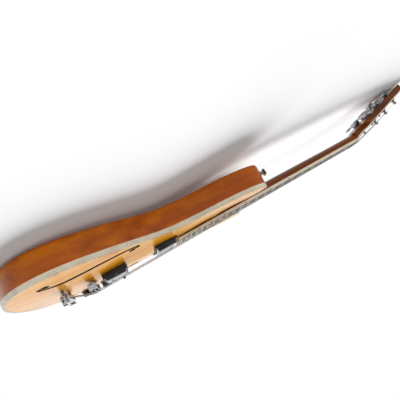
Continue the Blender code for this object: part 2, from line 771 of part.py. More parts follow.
def build_neck():
    """Neck with its headstock and tenon, truss rod, fretboard, its binding, and the nut."""
    neck = add_object("neck", neck_mesh(), NECK_WOOD, NECK_PLANE)
    joint = -fret_distance(JOINT_FRET)
    deep = 2 * RIM_DEPTH
    front = box_mesh("body_end", (deep, deep, 2 * deep), (JOINT_X + SEAT - deep / 2, 0.0, 0.0))
    cut(neck, add_object("body_end", front))
    edge = head_edge()
    slab = plate_mesh("headstock_slab", [edge], HEAD_BACK, -(HEAD_FACE + SEAT))
    join(neck, add_object("headstock_slab", slab, None, HEAD_PLANE))
    above_size = (2 * HEAD_LENGTH, deep, deep)
    above_centre = (HEAD_LENGTH, 0.0, deep / 2 - HEAD_FACE - SEAT)
    above = box_mesh("over_headstock", above_size, above_centre)
    cut(neck, add_object("over_headstock", above, None, HEAD_PLANE))
    tenon_size = (TENON_LENGTH + HEEL_LENGTH / 2, 2 * TENON_HALF, TENON_DEPTH)
    tenon_centre = (
        joint - TENON_LENGTH + tenon_size[0] / 2,
        0.0,
        -TENON_DROP - TENON_DEPTH / 2,
    )
    tenon = box_mesh("tenon", tenon_size, tenon_centre)
    join(neck, add_object("tenon", tenon, None, NECK_PLANE))

    pocket_size = (tenon_size[0] + 2 * SEAT, tenon_size[1] + 2 * SEAT, TENON_DEPTH + deep)
    pocket_centre = (
        tenon_centre[0],
        0.0,
        -TENON_DROP - TENON_DEPTH - SEAT + pocket_size[2] / 2,
    )
    pocket = add_object(
        "neck_pocket", box_mesh("neck_pocket", pocket_size, pocket_centre), None, NECK_PLANE
    )

    rod_low = -fret_distance(JOINT_FRET)
    channel_depth = ROD_DEPTH + ROD_RADIUS + HOLE_CLEAR
    channel = box_mesh(
        "rod_channel",
        (HEAD_THROAT - rod_low, 2 * (ROD_RADIUS + HOLE_CLEAR), 2 * channel_depth),
        ((rod_low + HEAD_THROAT) / 2, 0.0, 0.0),
    )
    opening = rod_opening("rod_pocket")
    cut(neck, add_object("rod_channel", channel, None, NECK_PLANE), opening)
    add_object("truss_rod", rod_mesh(rod_low + SEAT), STEEL, NECK_PLANE, (0.0, 0.0, -ROD_DEPTH))

    add_object("fretboard", board_mesh(), ROSEWOOD, NECK_PLANE)
    add_object("fretboard_binding", board_binding_mesh(), CREAM, NECK_PLANE)
    return neck, pocket, opening


def rod_opening(name):
    """Pocket behind the nut that the rod's nut is reached through."""
    depth = 0.7 * HEAD_THICKNESS + HEAD_FACE
    size = (ROD_POCKET_LENGTH, 2 * ROD_POCKET_HALF, 2 * depth)
    mesh = box_mesh(name, size, (ROD_POCKET_LENGTH / 2 - SEAT, 0.0, 0.0))
    return add_object(name, mesh, None, HEAD_PLANE)


def rod_mesh(low):
    """Rod along the neck with its adjusting nut at the head end."""
    bm = bmesh.new()
    end = NUT_THICKNESS + ROD_NUT_LENGTH * 0.65
    profile = (
        (0.0, end),
        (ROD_NUT_RADIUS * 0.6, end),
        (ROD_NUT_RADIUS * 0.6, end - ROD_NUT_LENGTH * 0.7),
        (ROD_RADIUS, end - ROD_NUT_LENGTH * 0.7),
        (ROD_RADIUS, low),
        (0.0, low),
    )
    upright = turned_mesh("truss_rod", profile, 12)
    bm.from_mesh(upright)
    bpy.data.meshes.remove(upright)
    bmesh.ops.rotate(bm, matrix=Matrix.Rotation(pi / 2, 3, "Y"), verts=bm.verts)
    return finished(bm, "truss_rod")


def board_section(x, raised):
    """Loop of a fretboard section inside its binding."""
    half = board_half(-x) - BOARD_BINDING - SEAT
    loop = [(x, half, SEAT)]
    for y in np.linspace(half, -half, 7):
        loop.append((x, y, BOARD_THICKNESS - crown(y) + raised))
    loop.append((x, -half, SEAT))
    return loop


def board_mesh():
    """Fretboard with its frets, from the body end to the nut."""
    sections = [board_section(-BOARD_LENGTH + BOARD_BINDING + SEAT, 0.0)]
    for number in range(FRET_COUNT, 0, -1):
        x = -fret_distance(number)
        sections.append(board_section(x - FRET_FOOT, 0.0))
        sections.append(board_section(x - FRET_CROWN, FRET_HEIGHT))
        sections.append(board_section(x + FRET_CROWN, FRET_HEIGHT))
        sections.append(board_section(x + FRET_FOOT, 0.0))
    sections.append(board_section(-SEAT, 0.0))
    return loft_mesh("fretboard", sections)


def board_binding_mesh():
    """Binding along both edges of the fretboard and across its body end."""
    end = -BOARD_LENGTH
    start = -SEAT
    stations = [((start, board_half(-start)), (start, board_half(-start) - BOARD_BINDING))]
    stations.append(((end, BOARD_END_HALF), (end + BOARD_BINDING, BOARD_END_HALF - BOARD_BINDING)))
    for share in (0.5, 0.0, -0.5):
        y = BOARD_END_HALF * share
        stations.append(((end, y), (end + BOARD_BINDING, y)))
    stations += [((ox, -oy), (ix, -iy)) for (ox, oy), (ix, iy) in reversed(stations[:2])]
    sections = []
    for outer, inner in stations:
        sections.append(
            [
                (*outer, SEAT),
                (*outer, BOARD_THICKNESS - crown(outer[1])),
                (*inner, BOARD_THICKNESS - crown(inner[1])),
                (*inner, SEAT),
            ]
        )
    return loft_mesh("fretboard_binding", sections)


def build_headstock(opening):
    """Face plate, its binding, the truss rod cover and the holes for the tuners."""
    edge = head_edge()
    widened = inset(edge, HEAD_BINDING)
    core = inset(edge, HEAD_BINDING + SEAT)
    face_low = -HEAD_FACE
    face = add_object(
        "headstock_face", plate_mesh("headstock_face", [core], face_low, 0.0), BLACK, HEAD_PLANE
    )
    strip = np.concatenate([edge, widened[::-1]])
    add_object(
        "headstock_binding",
        plate_mesh("headstock_binding", [strip], face_low, 0.0),
        CREAM,
        HEAD_PLANE,
    )
    start = SEAT * 2
    cover_outline = [
        (start, COVER_HALF),
        (COVER_LENGTH * 0.35, COVER_HALF * 0.9),
        (COVER_LENGTH * 0.7, COVER_HALF * 0.55),
        (COVER_LENGTH, COVER_TIP_HALF),
        (COVER_LENGTH + COVER_TIP_HALF * 0.6, 0.0),
    ]
    cover_outline += [(x, -y) for x, y in reversed(cover_outline[:-1])]
    add_object(
        "truss_rod_cover",
        plate_mesh("truss_rod_cover", [cover_outline], SEAT, SEAT + COVER_THICKNESS),
        BLACK,
        HEAD_PLANE,
    )
    cut(face, opening)
    return face


# Tuners


def build_tuners(neck, face):
    """Six closed tuners: a housing with its sleeve and nut, a string post and a button."""
    housing = housing_mesh()
    post = post_mesh()
    button = button_mesh()
    for number, (s, y) in enumerate(tuner_places(), start=1):
        side = 1 if y > 0 else -1
        hole = cylinder_mesh(
            f"tuner_hole_{number}", SLEEVE_RADIUS + HOLE_CLEAR, 2 * HEAD_BACK, -HEAD_BACK, 12, (s, y)
        )
        cutter = add_object(hole.name, hole, None, HEAD_PLANE)
        cut(neck, cutter)
        cut(face, cutter)
        turn = (0.0, 0.0, 0.0 if side > 0 else pi)
        base = anchor(f"tuner_{number}", (s, y, 0.0), turn, HEAD_PLANE)
        shell = add_object(f"tuner_housing_{number}", housing, CHROME, base)
        join(shell, *(tool(f"housing_{part}_{number}", mesh, base) for part, mesh in SLEEVE_PARTS))
        bores = (("bore", POST_BORE), ("shaft_bore", SHAFT_BORES[side]))
        cut(shell, *(tool(f"housing_{part}_{number}", mesh, base) for part, mesh in bores))
        add_object(f"tuner_post_{number}", post, CHROME, base)
        hinge = (WORM_OFFSET * -side, HOUSING_WIDTH / 2 + SEAT, worm_height())
        add_object(f"tuner_button_{number}", button, CHROME, base, hinge)


def tool(name, mesh, parent):
    """Helper solid that shares a mesh with its like on the other tuners."""
    return add_object(name, mesh, None, parent)


def worm_height():
    """Height of the button's shaft over the headstock's face."""
    return HEAD_BACK - SEAT - HOUSING_HEIGHT / 2


def housing_mesh():
    """Closed gear case against the back of the headstock."""
    size = (HOUSING_LENGTH, HOUSING_WIDTH, HOUSING_HEIGHT)
    return box_mesh("tuner_housing", size, (0.0, 0.0, worm_height()), HOUSING_ROUND, 2)


def post_mesh():
    """String post, from inside the case to above the face."""
    low = HEAD_BACK - SEAT - POST_DEPTH
    waist = POST_RADIUS * 0.86
    profile = (
        (0.0, POST_HEIGHT),
        (waist, POST_HEIGHT),
        (POST_RADIUS, POST_HEIGHT - SEAT * 2),
        (POST_RADIUS, low),
        (0.0, low),
    )
    return turned_mesh("tuner_post", profile, 16)


def button_mesh():
    """Oval button on its shaft, with the shaft's axis along Y."""
    bm = bmesh.new()
    bmesh.ops.create_uvsphere(bm, u_segments=12, v_segments=8, radius=1.0)
    bmesh.ops.scale(bm, vec=(BUTTON_LENGTH, BUTTON_WIDTH, BUTTON_THICKNESS), verts=bm.verts)
    bmesh.ops.translate(bm, vec=(0.0, SHAFT_LENGTH + BUTTON_WIDTH * 0.8, 0.0), verts=bm.verts)
    oval = finished(bm, "button_oval")
    bm = bmesh.new()
    length = SHAFT_LENGTH + SHAFT_GRIP + BUTTON_WIDTH * 0.6
    bmesh.ops.create_cone(
        bm, cap_ends=True, segments=12, radius1=SHAFT_RADIUS, radius2=SHAFT_RADIUS, depth=length
    )
    bmesh.ops.rotate(bm, matrix=Matrix.Rotation(pi / 2, 3, "X"), verts=bm.verts)
    bmesh.ops.translate(bm, vec=(0.0, length / 2 - SHAFT_GRIP, 0.0), verts=bm.verts)
    shaft = finished(bm, "button_shaft")
    return joined_mesh("tuner_button", oval, shaft)


def joined_mesh(name, first, second):
    """Union of two meshes as one."""
    base = bpy.data.objects.new(name, first)
    other = bpy.data.objects.new(f"{name}_helper", second)
    for helper in (base, other):
        bpy.context.scene.collection.objects.link(helper)
    combine(base, other, "UNION")
    evaluated = base.evaluated_get(bpy.context.evaluated_depsgraph_get())
    mesh = bpy.data.meshes.new_from_object(evaluated)
    mesh.name = name
    for helper in (base, other):
        bpy.data.objects.remove(helper)
    bpy.data.meshes.remove(first)
    bpy.data.meshes.remove(second)
    mesh.shade_smooth()
    mesh.set_sharp_from_angle(angle=radians(35))
    return mesh


def sleeve_parts():
    """Sleeve through the headstock and its nut, which a case grows by."""
    back = HEAD_BACK - SEAT
    sleeve = cylinder_mesh(
        "housing_sleeve", SLEEVE_RADIUS, back - HOUSING_HEIGHT / 3, SEAT + SLEEVE_NUT_HEIGHT / 2, 12
    )
    nut = cylinder_mesh("housing_nut", SLEEVE_NUT_RADIUS, SEAT, SEAT + SLEEVE_NUT_HEIGHT, 6)
    return ("sleeve", sleeve), ("nut", nut)


def post_bore_mesh():
    """Bore of the string post through the case and its sleeve."""
    low = HEAD_BACK - SEAT - POST_DEPTH - SEAT
    return cylinder_mesh("housing_bore", POST_RADIUS + HOLE_CLEAR, low, POST_HEIGHT, 16)


def shaft_bore_mesh(side):
    """Bore of the button's shaft, which is towards the nut on either side of the headstock."""
    bm = bmesh.new()
    radius = SHAFT_RADIUS + HOLE_CLEAR
    bmesh.ops.create_cone(
        bm, cap_ends=True, segments=12, radius1=radius, radius2=radius, depth=2 * (SHAFT_GRIP + SEAT)
    )
    bmesh.ops.rotate(bm, matrix=Matrix.Rotation(pi / 2, 3, "X"), verts=bm.verts)
    place = (-side * WORM_OFFSET, HOUSING_WIDTH / 2 + SEAT, worm_height())
    bmesh.ops.translate(bm, vec=place, verts=bm.verts)
    return finished(bm, "housing_shaft_bore")


SLEEVE_PARTS = sleeve_parts()
POST_BORE = post_bore_mesh()
SHAFT_BORES = {side: shaft_bore_mesh(side) for side in (1, -1)}


# Bridge and tailpiece


def string_y(number, spread):
    """Side offset of a string, the thickest being number 0 on the bass side."""
    return (2.5 - number) * spread


def saddle_top(number):
    """Height of a saddle's ridge, which follows the fretboard's curve."""
    return RIDGE_TOP - crown(string_y(number, STRING_SPREAD_BRIDGE))


def build_bridge(back, top):
    """Beam with its six saddles, on two threaded posts with thumbwheels."""
    half = BEAM_LENGTH / 2
    side = BEAM_HEIGHT - BEAM_END_HEIGHT
    shape = [(-half, 0.0), (half, 0.0)]
    for turn in np.linspace(0.0, pi, 13):
        y = half * cos(turn)
        shape.append((y, BEAM_END_HEIGHT * 0.8 + (side + BEAM_END_HEIGHT * 0.2) * sin(turn) ** 0.5))
    sections = [
        [(x, y, BEAM_LOW + z) for y, z in shape] for x in (-BEAM_WIDTH / 2, BEAM_WIDTH / 2)
    ]
    beam = add_object("bridge_beam", loft_mesh("bridge_beam", sections), CHROME)
    channel = box_mesh(
        "saddle_channel",
        (CHANNEL_WIDTH, CHANNEL_LENGTH, 2 * CHANNEL_DEPTH),
        (0.0, 0.0, BEAM_TOP),
    )
    cut(beam, add_object("saddle_channel", channel))
    for number in range(6):
        saddle = add_object(f"saddle_{number + 1}", saddle_mesh(number), CHROME)
        saddle.location = (0.0, string_y(number, STRING_SPREAD_BRIDGE), 0.0)
    wheel = turned_mesh("bridge_wheel", wheel_profile(), 24)
    for name, y in (("bass", POST_Y_BRIDGE), ("treble", -POST_Y_BRIDGE)):
        add_object(f"bridge_wheel_{name}", wheel, CHROME, None, (0.0, y, WHEEL_LOW))
        stub_hole = cylinder_mesh(
            f"stub_hole_{name}",
            STUB_RADIUS + HOLE_CLEAR,
            WHEEL_LOW,
            BEAM_LOW + STUB_HEIGHT + SEAT,
            16,
            (0.0, y),
        )
        cut(beam, add_object(stub_hole.name, stub_hole))
        shank_low = WHEEL_LOW - SHANK_LENGTH - BRIDGE_DROP - SEAT
        shank_hole = cylinder_mesh(
            f"shank_hole_{name}", SHANK_RADIUS + HOLE_CLEAR, shank_low, WHEEL_LOW, 16, (0.0, y)
        )
        hole = add_object(shank_hole.name, shank_hole)
        cut(back, hole)
        cut(top, hole)


def wheel_profile():
    """Post with its thumbwheel: a stub into the beam, the wheel and the threaded shank."""
    top = WHEEL_THICKNESS + SEAT + STUB_HEIGHT
    return (
        (0.0, top),
        (STUB_RADIUS, top),
        (STUB_RADIUS, WHEEL_THICKNESS),
        (WHEEL_RADIUS * 0.94, WHEEL_THICKNESS),
        (WHEEL_RADIUS, WHEEL_THICKNESS * 0.8),
        (WHEEL_RADIUS, WHEEL_THICKNESS * 0.2),
        (WHEEL_RADIUS * 0.94, 0.0),
        (SHANK_RADIUS, 0.0),
        (SHANK_RADIUS, -SHANK_LENGTH),
        (0.0, -SHANK_LENGTH),
    )


def saddle_mesh(number):
    """Saddle block with a ridge under its string."""
    half = SADDLE_LENGTH / 2
    ridge = SADDLE_RIDGE / 2
    low = CHANNEL_FLOOR + SEAT
    shoulder = BEAM_TOP - SEAT
    top = saddle_top(number)
    shape = ((-half, low), (half, low), (half, shoulder), (ridge, top), (-ridge, top), (-half, shoulder))
    width = SADDLE_WIDTH / 2
    return loft_mesh(
        f"saddle_{number + 1}", [[(x, y, z) for x, z in shape] for y in (-width, width)]
    )


def build_tailpiece(back, top):
    """Stop bar, slotted over its two studs and bored for the strings."""
    surface = arch_range(TAILPIECE_X, STUD_PITCH / 2, STUD_COLLAR)[1]
    low = surface + BAR_LIFT
    centre = low + BAR_THICKNESS / 2
    size = (BAR_WIDTH, BAR_LENGTH, BAR_THICKNESS)
    bar = add_object(
        "tailpiece_bar",
        box_mesh("tailpiece_bar", size, (0.0, 0.0, 0.0), BAR_ROUND, 3),
        CHROME,
        None,
        (TAILPIECE_X, 0.0, centre),
    )
    slot_half = STUD_NECK + HOLE_CLEAR
    for name, y in (("bass", STUD_PITCH / 2), ("treble", -STUD_PITCH / 2)):
        slot = box_mesh(
            f"stud_slot_{name}",
            (BAR_WIDTH, 2 * slot_half, 2 * BAR_THICKNESS),
            (TAILPIECE_X + BAR_WIDTH / 2, y, centre),
        )
        seat = cylinder_mesh(
            f"stud_seat_{name}",
            slot_half,
            centre - BAR_THICKNESS,
            centre + BAR_THICKNESS,
            16,
            (TAILPIECE_X, y),
        )
        cut(bar, add_object(slot.name, slot), add_object(seat.name, seat))
        stud = turned_mesh(f"tailpiece_stud_{name}", stud_profile(), 20)
        add_object(f"tailpiece_stud_{name}", stud, CHROME, None, (TAILPIECE_X, y, low))
        bottom = surface - STUD_DEPTH - SEAT
        hole = add_object(
            f"stud_hole_{name}",
            cylinder_mesh(
                f"stud_hole_{name}", STUD_SHANK + HOLE_CLEAR, bottom, low, 16, (TAILPIECE_X, y)
            ),
        )
        cut(back, hole)
        cut(top, hole)
    for number, radius in enumerate(STRING_RADII):
        y = string_y(number, STRING_SPREAD_BRIDGE)
        cut(bar, *string_bores(number, radius, y, centre))
    return centre


def string_bores(number, radius, y, height):
    """Bore of one string through the bar, with a wider seat for its ball at the tail side."""
    found = []
    reach = BAR_WIDTH
    for name, bore, x in (
        ("bore", radius + HOLE_CLEAR, TAILPIECE_X),
        ("ball", BALL_RADIUS + HOLE_CLEAR, ball_start() + BALL_LENGTH + SEAT - reach),
    ):
        mesh = cylinder_mesh(f"string_{name}_{number + 1}", bore, -reach, reach, 8)
        found.append(
            add_object(mesh.name, mesh, None, None, (x, y, height), (0.0, pi / 2, 0.0))
        )
    return found


def ball_start():
    """X of the tail side end of the strings' balls."""
    return TAILPIECE_X - BAR_WIDTH / 2 + SEAT


def stud_profile():
    """Stud from its head on the bar down to its shank in the body, from the bar's underside."""
    head_low = BAR_THICKNESS + SEAT
    shank_low = -BAR_LIFT - STUD_DEPTH
    return (
        (0.0, head_low + STUD_HEAD_HEIGHT),
        (STUD_HEAD * 0.85, head_low + STUD_HEAD_HEIGHT),
        (STUD_HEAD, head_low + STUD_HEAD_HEIGHT * 0.6),
        (STUD_HEAD, head_low),
        (STUD_NECK, head_low),
        (STUD_NECK, -SEAT),
        (STUD_COLLAR, -SEAT),
        (STUD_COLLAR, -SEAT - STUD_COLLAR_HEIGHT),
        (STUD_SHANK, -SEAT - STUD_COLLAR_HEIGHT),
        (STUD_SHANK, shank_low),
        (0.0, shank_low),
    )


# Nut and strings


def string_ends(number):
    """Nut break, post axis point and post's radius of the winding, in the neck's frame."""
    s, y = tuner_places()[number]
    side = 1 if y > 0 else -1
    winding = POST_RADIUS + SEAT + STRING_RADII[number]
    nut_y = string_y(number, STRING_SPREAD_NUT)
    height = BOARD_THICKNESS - crown(nut_y) + FRET_HEIGHT + ACTION_NUT + STRING_RADII[number]
    from_nut = Vector((0.0, nut_y, height))
    local = NECK_MATRIX.inverted() @ HEAD_MATRIX
    to_post = local @ Vector((s, y - side * winding, WINDING_TOP))
    return from_nut, to_post, winding


def nut_mesh():
    """Nut with a slot under each string, sloping down towards the head."""
    ends = [string_ends(number)[:2] for number in range(6)]
    sections = []
    for x in (0.0, NUT_THICKNESS - SEAT):
        loop = [(x, NUT_HALF, SEAT)]
        edge_drop = 0.0
        for number, (start, end) in enumerate(ends):
            share = x / (end.x - start.x)
            spot = start.lerp(end, share)
            half = STRING_RADII[number] + SEAT
            floor = spot.z - STRING_RADII[number] - SEAT * (1.0 + x / NUT_THICKNESS)
            land = floor + NUT_LAND
            if number == 0:
                loop.append((x, NUT_HALF, land))
            loop += [(x, spot.y + half, land), (x, spot.y + half, floor)]
            loop += [(x, spot.y - half, floor), (x, spot.y - half, land)]
            edge_drop = land
        loop += [(x, -NUT_HALF, edge_drop), (x, -NUT_HALF, SEAT)]
        sections.append(loop)
    return loft_mesh("nut", sections)


def string_points(number, bar_height):
    """Centre line of a string from its ball to its winding, and the radius at each point."""
    radius = STRING_RADII[number]
    y = string_y(number, STRING_SPREAD_BRIDGE)
    start = ball_start()
    ball_end = start + BALL_LENGTH
    over_saddle = saddle_top(number) + SEAT + radius
    points = [Vector((x, y, bar_height)) for x in (start, ball_end, ball_end + SEAT)]
    radii = [BALL_RADIUS, BALL_RADIUS, radius]
    points.append(Vector((TAILPIECE_X + BAR_WIDTH / 2 + SEAT, y, bar_height)))
    nut, to_post, winding = string_ends(number)
    nut_break = NECK_MATRIX @ nut
    slope = (nut_break.z - over_saddle) / nut_break.x
    rear = -SADDLE_TRAVEL - SADDLE_RIDGE
    points.append(Vector((rear, y, over_saddle + rear * slope)))
    points.append(nut_break)
    s, post_y = tuner_places()[number]
    side = 1 if post_y > 0 else -1
    drop = 2 * radius + WINDING_GAP
    steps = 10
    for step in range(int(WINDING_TURNS * steps) + 1):
        turn = 2 * pi * step / steps
        local = Vector(
            (
                s + winding * sin(turn),
                post_y - side * winding * cos(turn),
                WINDING_TOP - drop * step / steps,
            )
        )
        points.append(HEAD_MATRIX @ local)
    radii += [radius] * (len(points) - len(radii))
    return points, radii


def least_self_gap(points, radius):
    """Smallest clear gap between the turns of a winding."""
    spots = np.array([tuple(point) for point in points])
    apart = np.linalg.norm(spots[:, None] - spots[None], axis=2)
    order = np.arange(len(spots))
    apart[np.abs(order[:, None] - order) < 5] = np.inf
    return float(apart.min()) - 2 * radius


def build_strings(bar_height):
    """Six strings, each one wire from its ball in the tailpiece to its turns on the post."""
    add_object("nut", nut_mesh(), BONE, NECK_PLANE)
    for number, radius in enumerate(STRING_RADII):
        points, radii = string_points(number, bar_height)
        curve = wire_curve(f"string_{number + 1}", points, radius, radii)
        add_object(curve.name, curve, STEEL)
        print(f"string {number + 1} least gap {least_self_gap(points[6:], radius) * 1000:.2f} mm")


# Pickups


def string_height(x):
    """Height of the middle of the string plane over the body."""
    nut = NECK_MATRIX @ Vector((0.0, 0.0, BOARD_THICKNESS + FRET_HEIGHT + ACTION_NUT))
    return RIDGE_TOP + (nut.z - RIDGE_TOP) * x / nut.x


def rounded_rectangle(length, width, corner, steps=3):
    """Outline of a rectangle with round corners, about the origin."""
    points = []
    for quarter in range(4):
        turn = pi / 2 * quarter
        cx = (length / 2 - corner) * (1 if quarter in (0, 3) else -1)
        cy = (width / 2 - corner) * (1 if quarter in (0, 1) else -1)
        for step in range(steps + 1):
            angle = turn + pi / 2 * step / steps
            points.append((cx + corner * cos(angle), cy + corner * sin(angle)))
    return points


def build_pickup(name, x, ring_height, tilt, back, top, surface):
    """Covered pickup that slides in its ring, and the ring on the arched top."""
    ring_top = float(arch_heights([(x, RING_HALF)])[0]) + ring_height
    plane = anchor(f"{name}_plane", (x, 0.0, ring_top), (0.0, tilt, 0.0))
    clear = SLIDE_CLEAR
    outer = rounded_rectangle(RING_LENGTH, 2 * RING_HALF, RING_CORNER)
    window = rounded_rectangle(
        PICKUP_LENGTH + 2 * clear, 2 * (PICKUP_HALF + clear), PICKUP_ROUND + clear
    )
    ring = add_object(
        f"{name}_ring", plate_mesh(f"{name}_ring", [outer, window], -RING_DEPTH, 0.0), BLACK, plane
    )
    cut(ring, surface)
    proud = (string_height(x) - PICKUP_GAP - ring_top) / cos(tilt)
    size = (PICKUP_LENGTH, 2 * PICKUP_HALF, PICKUP_HEIGHT)
    cover = box_mesh(name, size, (0.0, 0.0, proud - PICKUP_HEIGHT / 2), PICKUP_ROUND, 2)
    add_object(name, cover, CHROME, plane)
    floor = proud - PICKUP_HEIGHT - PICKUP_LOWER - 2 * SEAT
    well_size = (PICKUP_LENGTH + 4 * clear, 2 * (PICKUP_HALF + 2 * clear), RING_DEPTH - floor)
    well = box_mesh(f"{name}_well", well_size, (0.0, 0.0, floor + well_size[2] / 2))
    hole = add_object(well.name, well, None, plane)
    cut(back, hole)
    cut(top, hole)


# Controls


def build_controls(top):
    """Knobs, the wired controls under them, and the toggle switch."""
    cans = []
    for number, (x, y) in enumerate(KNOB_PLACES, start=1):
        cans.append(build_knob(number, x, y, top))
    harness = cans[0]
    join(harness, *cans[1:])
    join(harness, *harness_wires())
    build_toggle(top)


def control_heights(x, y):
    """Knob base, nut base and can top of a control under the arched top."""
    knob_base = arch_range(x, y, KNOB_RADIUS)[1] + KNOB_CLEAR
    nut_base = arch_range(x, y, CONTROL_NUT_RADIUS)[1] + SEAT
    can_top = arch_range(x, y, CAN_RADIUS)[0] - TOP_PLATE - SEAT
    return knob_base, nut_base, can_top


def build_knob(number, x, y, top):
    """Knob on its shaft, and the control's body that it turns in."""
    knob_base, nut_base, can_top = control_heights(x, y)
    ceiling = knob_base + KNOB_HOLLOW
    bushing_top = nut_base + BUSHING_RISE
    shaft_low = bushing_top - CONTROL_SHAFT_GRIP
    inner = KNOB_RADIUS - KNOB_WALL
    profile = (
        (0.0, KNOB_HEIGHT),
        (KNOB_TOP_RADIUS * 0.92, KNOB_HEIGHT),
        (KNOB_TOP_RADIUS, KNOB_HEIGHT - KNOB_WALL / 3),
        (KNOB_TOP_RADIUS * 1.05, KNOB_SKIRT * 1.4),
        (KNOB_RADIUS, KNOB_SKIRT),
        (KNOB_RADIUS, 0.0),
        (inner, 0.0),
        (KNOB_TOP_RADIUS - KNOB_WALL / 2, KNOB_HOLLOW * 0.5),
        (KNOB_TOP_RADIUS - KNOB_WALL / 2, KNOB_HOLLOW),
        (CONTROL_SHAFT, KNOB_HOLLOW),
        (CONTROL_SHAFT, shaft_low - knob_base),
        (0.0, shaft_low - knob_base),
    )
    names = ("tone_knob", "neck_volume_knob", "bridge_volume_knob")
    add_object(
        names[number - 1], turned_mesh(names[number - 1], profile), BLACK, None, (x, y, knob_base)
    )
    hole = cylinder_mesh(
        f"control_hole_{number}", BUSHING_RADIUS + HOLE_CLEAR, can_top - TOP_PLATE, ceiling, 16, (x, y)
    )
    cut(top, add_object(hole.name, hole))
    body = (
        (0.0, shaft_low - SEAT),
        (CONTROL_SHAFT + HOLE_CLEAR, shaft_low - SEAT),
        (CONTROL_SHAFT + HOLE_CLEAR, bushing_top),
        (BUSHING_RADIUS, bushing_top),
        (BUSHING_RADIUS, nut_base + CONTROL_NUT_HEIGHT),
        (CONTROL_NUT_RADIUS, nut_base + CONTROL_NUT_HEIGHT),
        (CONTROL_NUT_RADIUS, nut_base),
        (BUSHING_RADIUS, nut_base),
        (BUSHING_RADIUS, can_top),
        (CAN_RADIUS, can_top),
        (CAN_RADIUS, can_top - CAN_HEIGHT),
        (0.0, can_top - CAN_HEIGHT),
    )
    name = "control_harness" if number == 1 else f"control_{number}"
    mesh = turned_mesh(name, body, 16)
    finish = CHROME if number == 1 else None
    return add_object(name, mesh, finish, None, (x, y, 0.0))


def harness_wires():
    """Ground wire between the controls and the leads to the switch and the jack."""
    cans = []
    for x, y in KNOB_PLACES:
        cans.append(Vector((x, y, control_heights(x, y)[2] - CAN_HEIGHT / 2)))
    routes = []
    for first, second in zip(cans, cans[1:]):
        inward = (second - first).normalized() * (CAN_RADIUS - 2 * WIRE_RADIUS)
        routes.append([first + inward, second - inward])
    below = Vector((0.0, 0.0, -CAN_HEIGHT))
    aside = Vector((CAN_RADIUS / 2, 0.0, 0.0))
    switch = Vector((TOGGLE_X, TOGGLE_Y, toggle_heights()[1] - TOGGLE_BODY[2] - SEAT))
    under_switch = switch + below
    routes.append(
        [cans[2] + aside, cans[2] + aside + 2 * below, under_switch - aside, under_switch, switch]
    )
    socket = Vector((LOWER_X, JACK_CAN_LENGTH + JACK_RECESS + SEAT - LOWER_HALF, JACK_HEIGHT))
    behind = socket + Vector((0.0, CAN_RADIUS, 0.0))
    routes.append([cans[1] - aside, cans[1] - aside + 1.2 * below, behind, socket])
    wires = []
    for number, points in enumerate(routes, start=1):
        curve = wire_curve(f"wire_{number}", points, WIRE_RADIUS)
        wires.append(add_object(f"wire_{number}", solid_mesh(curve)))
    return wires


def solid_mesh(curve):
    """Mesh of a wire with its caps welded on, which a Boolean can take."""
    drawn = bpy.data.objects.new(curve.name, curve)
    bpy.context.scene.collection.objects.link(drawn)
    evaluated = drawn.evaluated_get(bpy.context.evaluated_depsgraph_get())
    mesh = bpy.data.meshes.new_from_object(evaluated)
    bpy.data.objects.remove(drawn)
    bm = bmesh.new()
    bm.from_mesh(mesh)
    bpy.data.meshes.remove(mesh)
    bmesh.ops.remove_doubles(bm, verts=bm.verts, dist=1e-6)
    return finished(bm, curve.name)


def toggle_heights():
    """Base of the toggle's nut and the top of its body under the plate."""
    nut_base = arch_range(TOGGLE_X, TOGGLE_Y, TOGGLE_NUT_RADIUS)[1] + SEAT
    reach = max(TOGGLE_BODY[:2]) / 2 * 1.3
    body_top = arch_range(TOGGLE_X, TOGGLE_Y, reach)[0] - TOP_PLATE - SEAT
    return nut_base, body_top


def build_toggle(top):
    """Three-way switch: its body and nut, and the lever that tilts in it."""
    nut_base, body_top = toggle_heights()
    nut_top = nut_base + TOGGLE_NUT_HEIGHT
    size = TOGGLE_BODY
    body = add_object(
        "toggle_switch",
        box_mesh("toggle_switch", size, (TOGGLE_X, TOGGLE_Y, body_top - size[2] / 2)),
        BLACK,
    )
    place = (TOGGLE_X, TOGGLE_Y)
    stem = cylinder_mesh("toggle_stem", TOGGLE_BUSHING, body_top - size[2] / 2, nut_top, 20, place)
    nut = cylinder_mesh("toggle_nut", TOGGLE_NUT_RADIUS, nut_base, nut_top - SEAT, 20, place)
    join(body, add_object("toggle_stem", stem), add_object("toggle_nut", nut))
    pivot = nut_top - TOGGLE_BALL - SEAT
    bore = cylinder_mesh(
        "toggle_bore",
        TOGGLE_BALL + HOLE_CLEAR,
        pivot - TOGGLE_BALL - SEAT,
        nut_top + TOGGLE_NUT_HEIGHT,
        20,
        place,
    )
    cut(body, add_object("toggle_bore", bore))
    hole = cylinder_mesh(
        "toggle_hole", TOGGLE_BUSHING + HOLE_CLEAR, body_top - TOP_PLATE, nut_top, 20, place
    )
    cut(top, add_object("toggle_hole", hole))
    add_object("toggle_lever", lever_mesh(nut_base, pivot), BLACK, None, (*place, pivot))


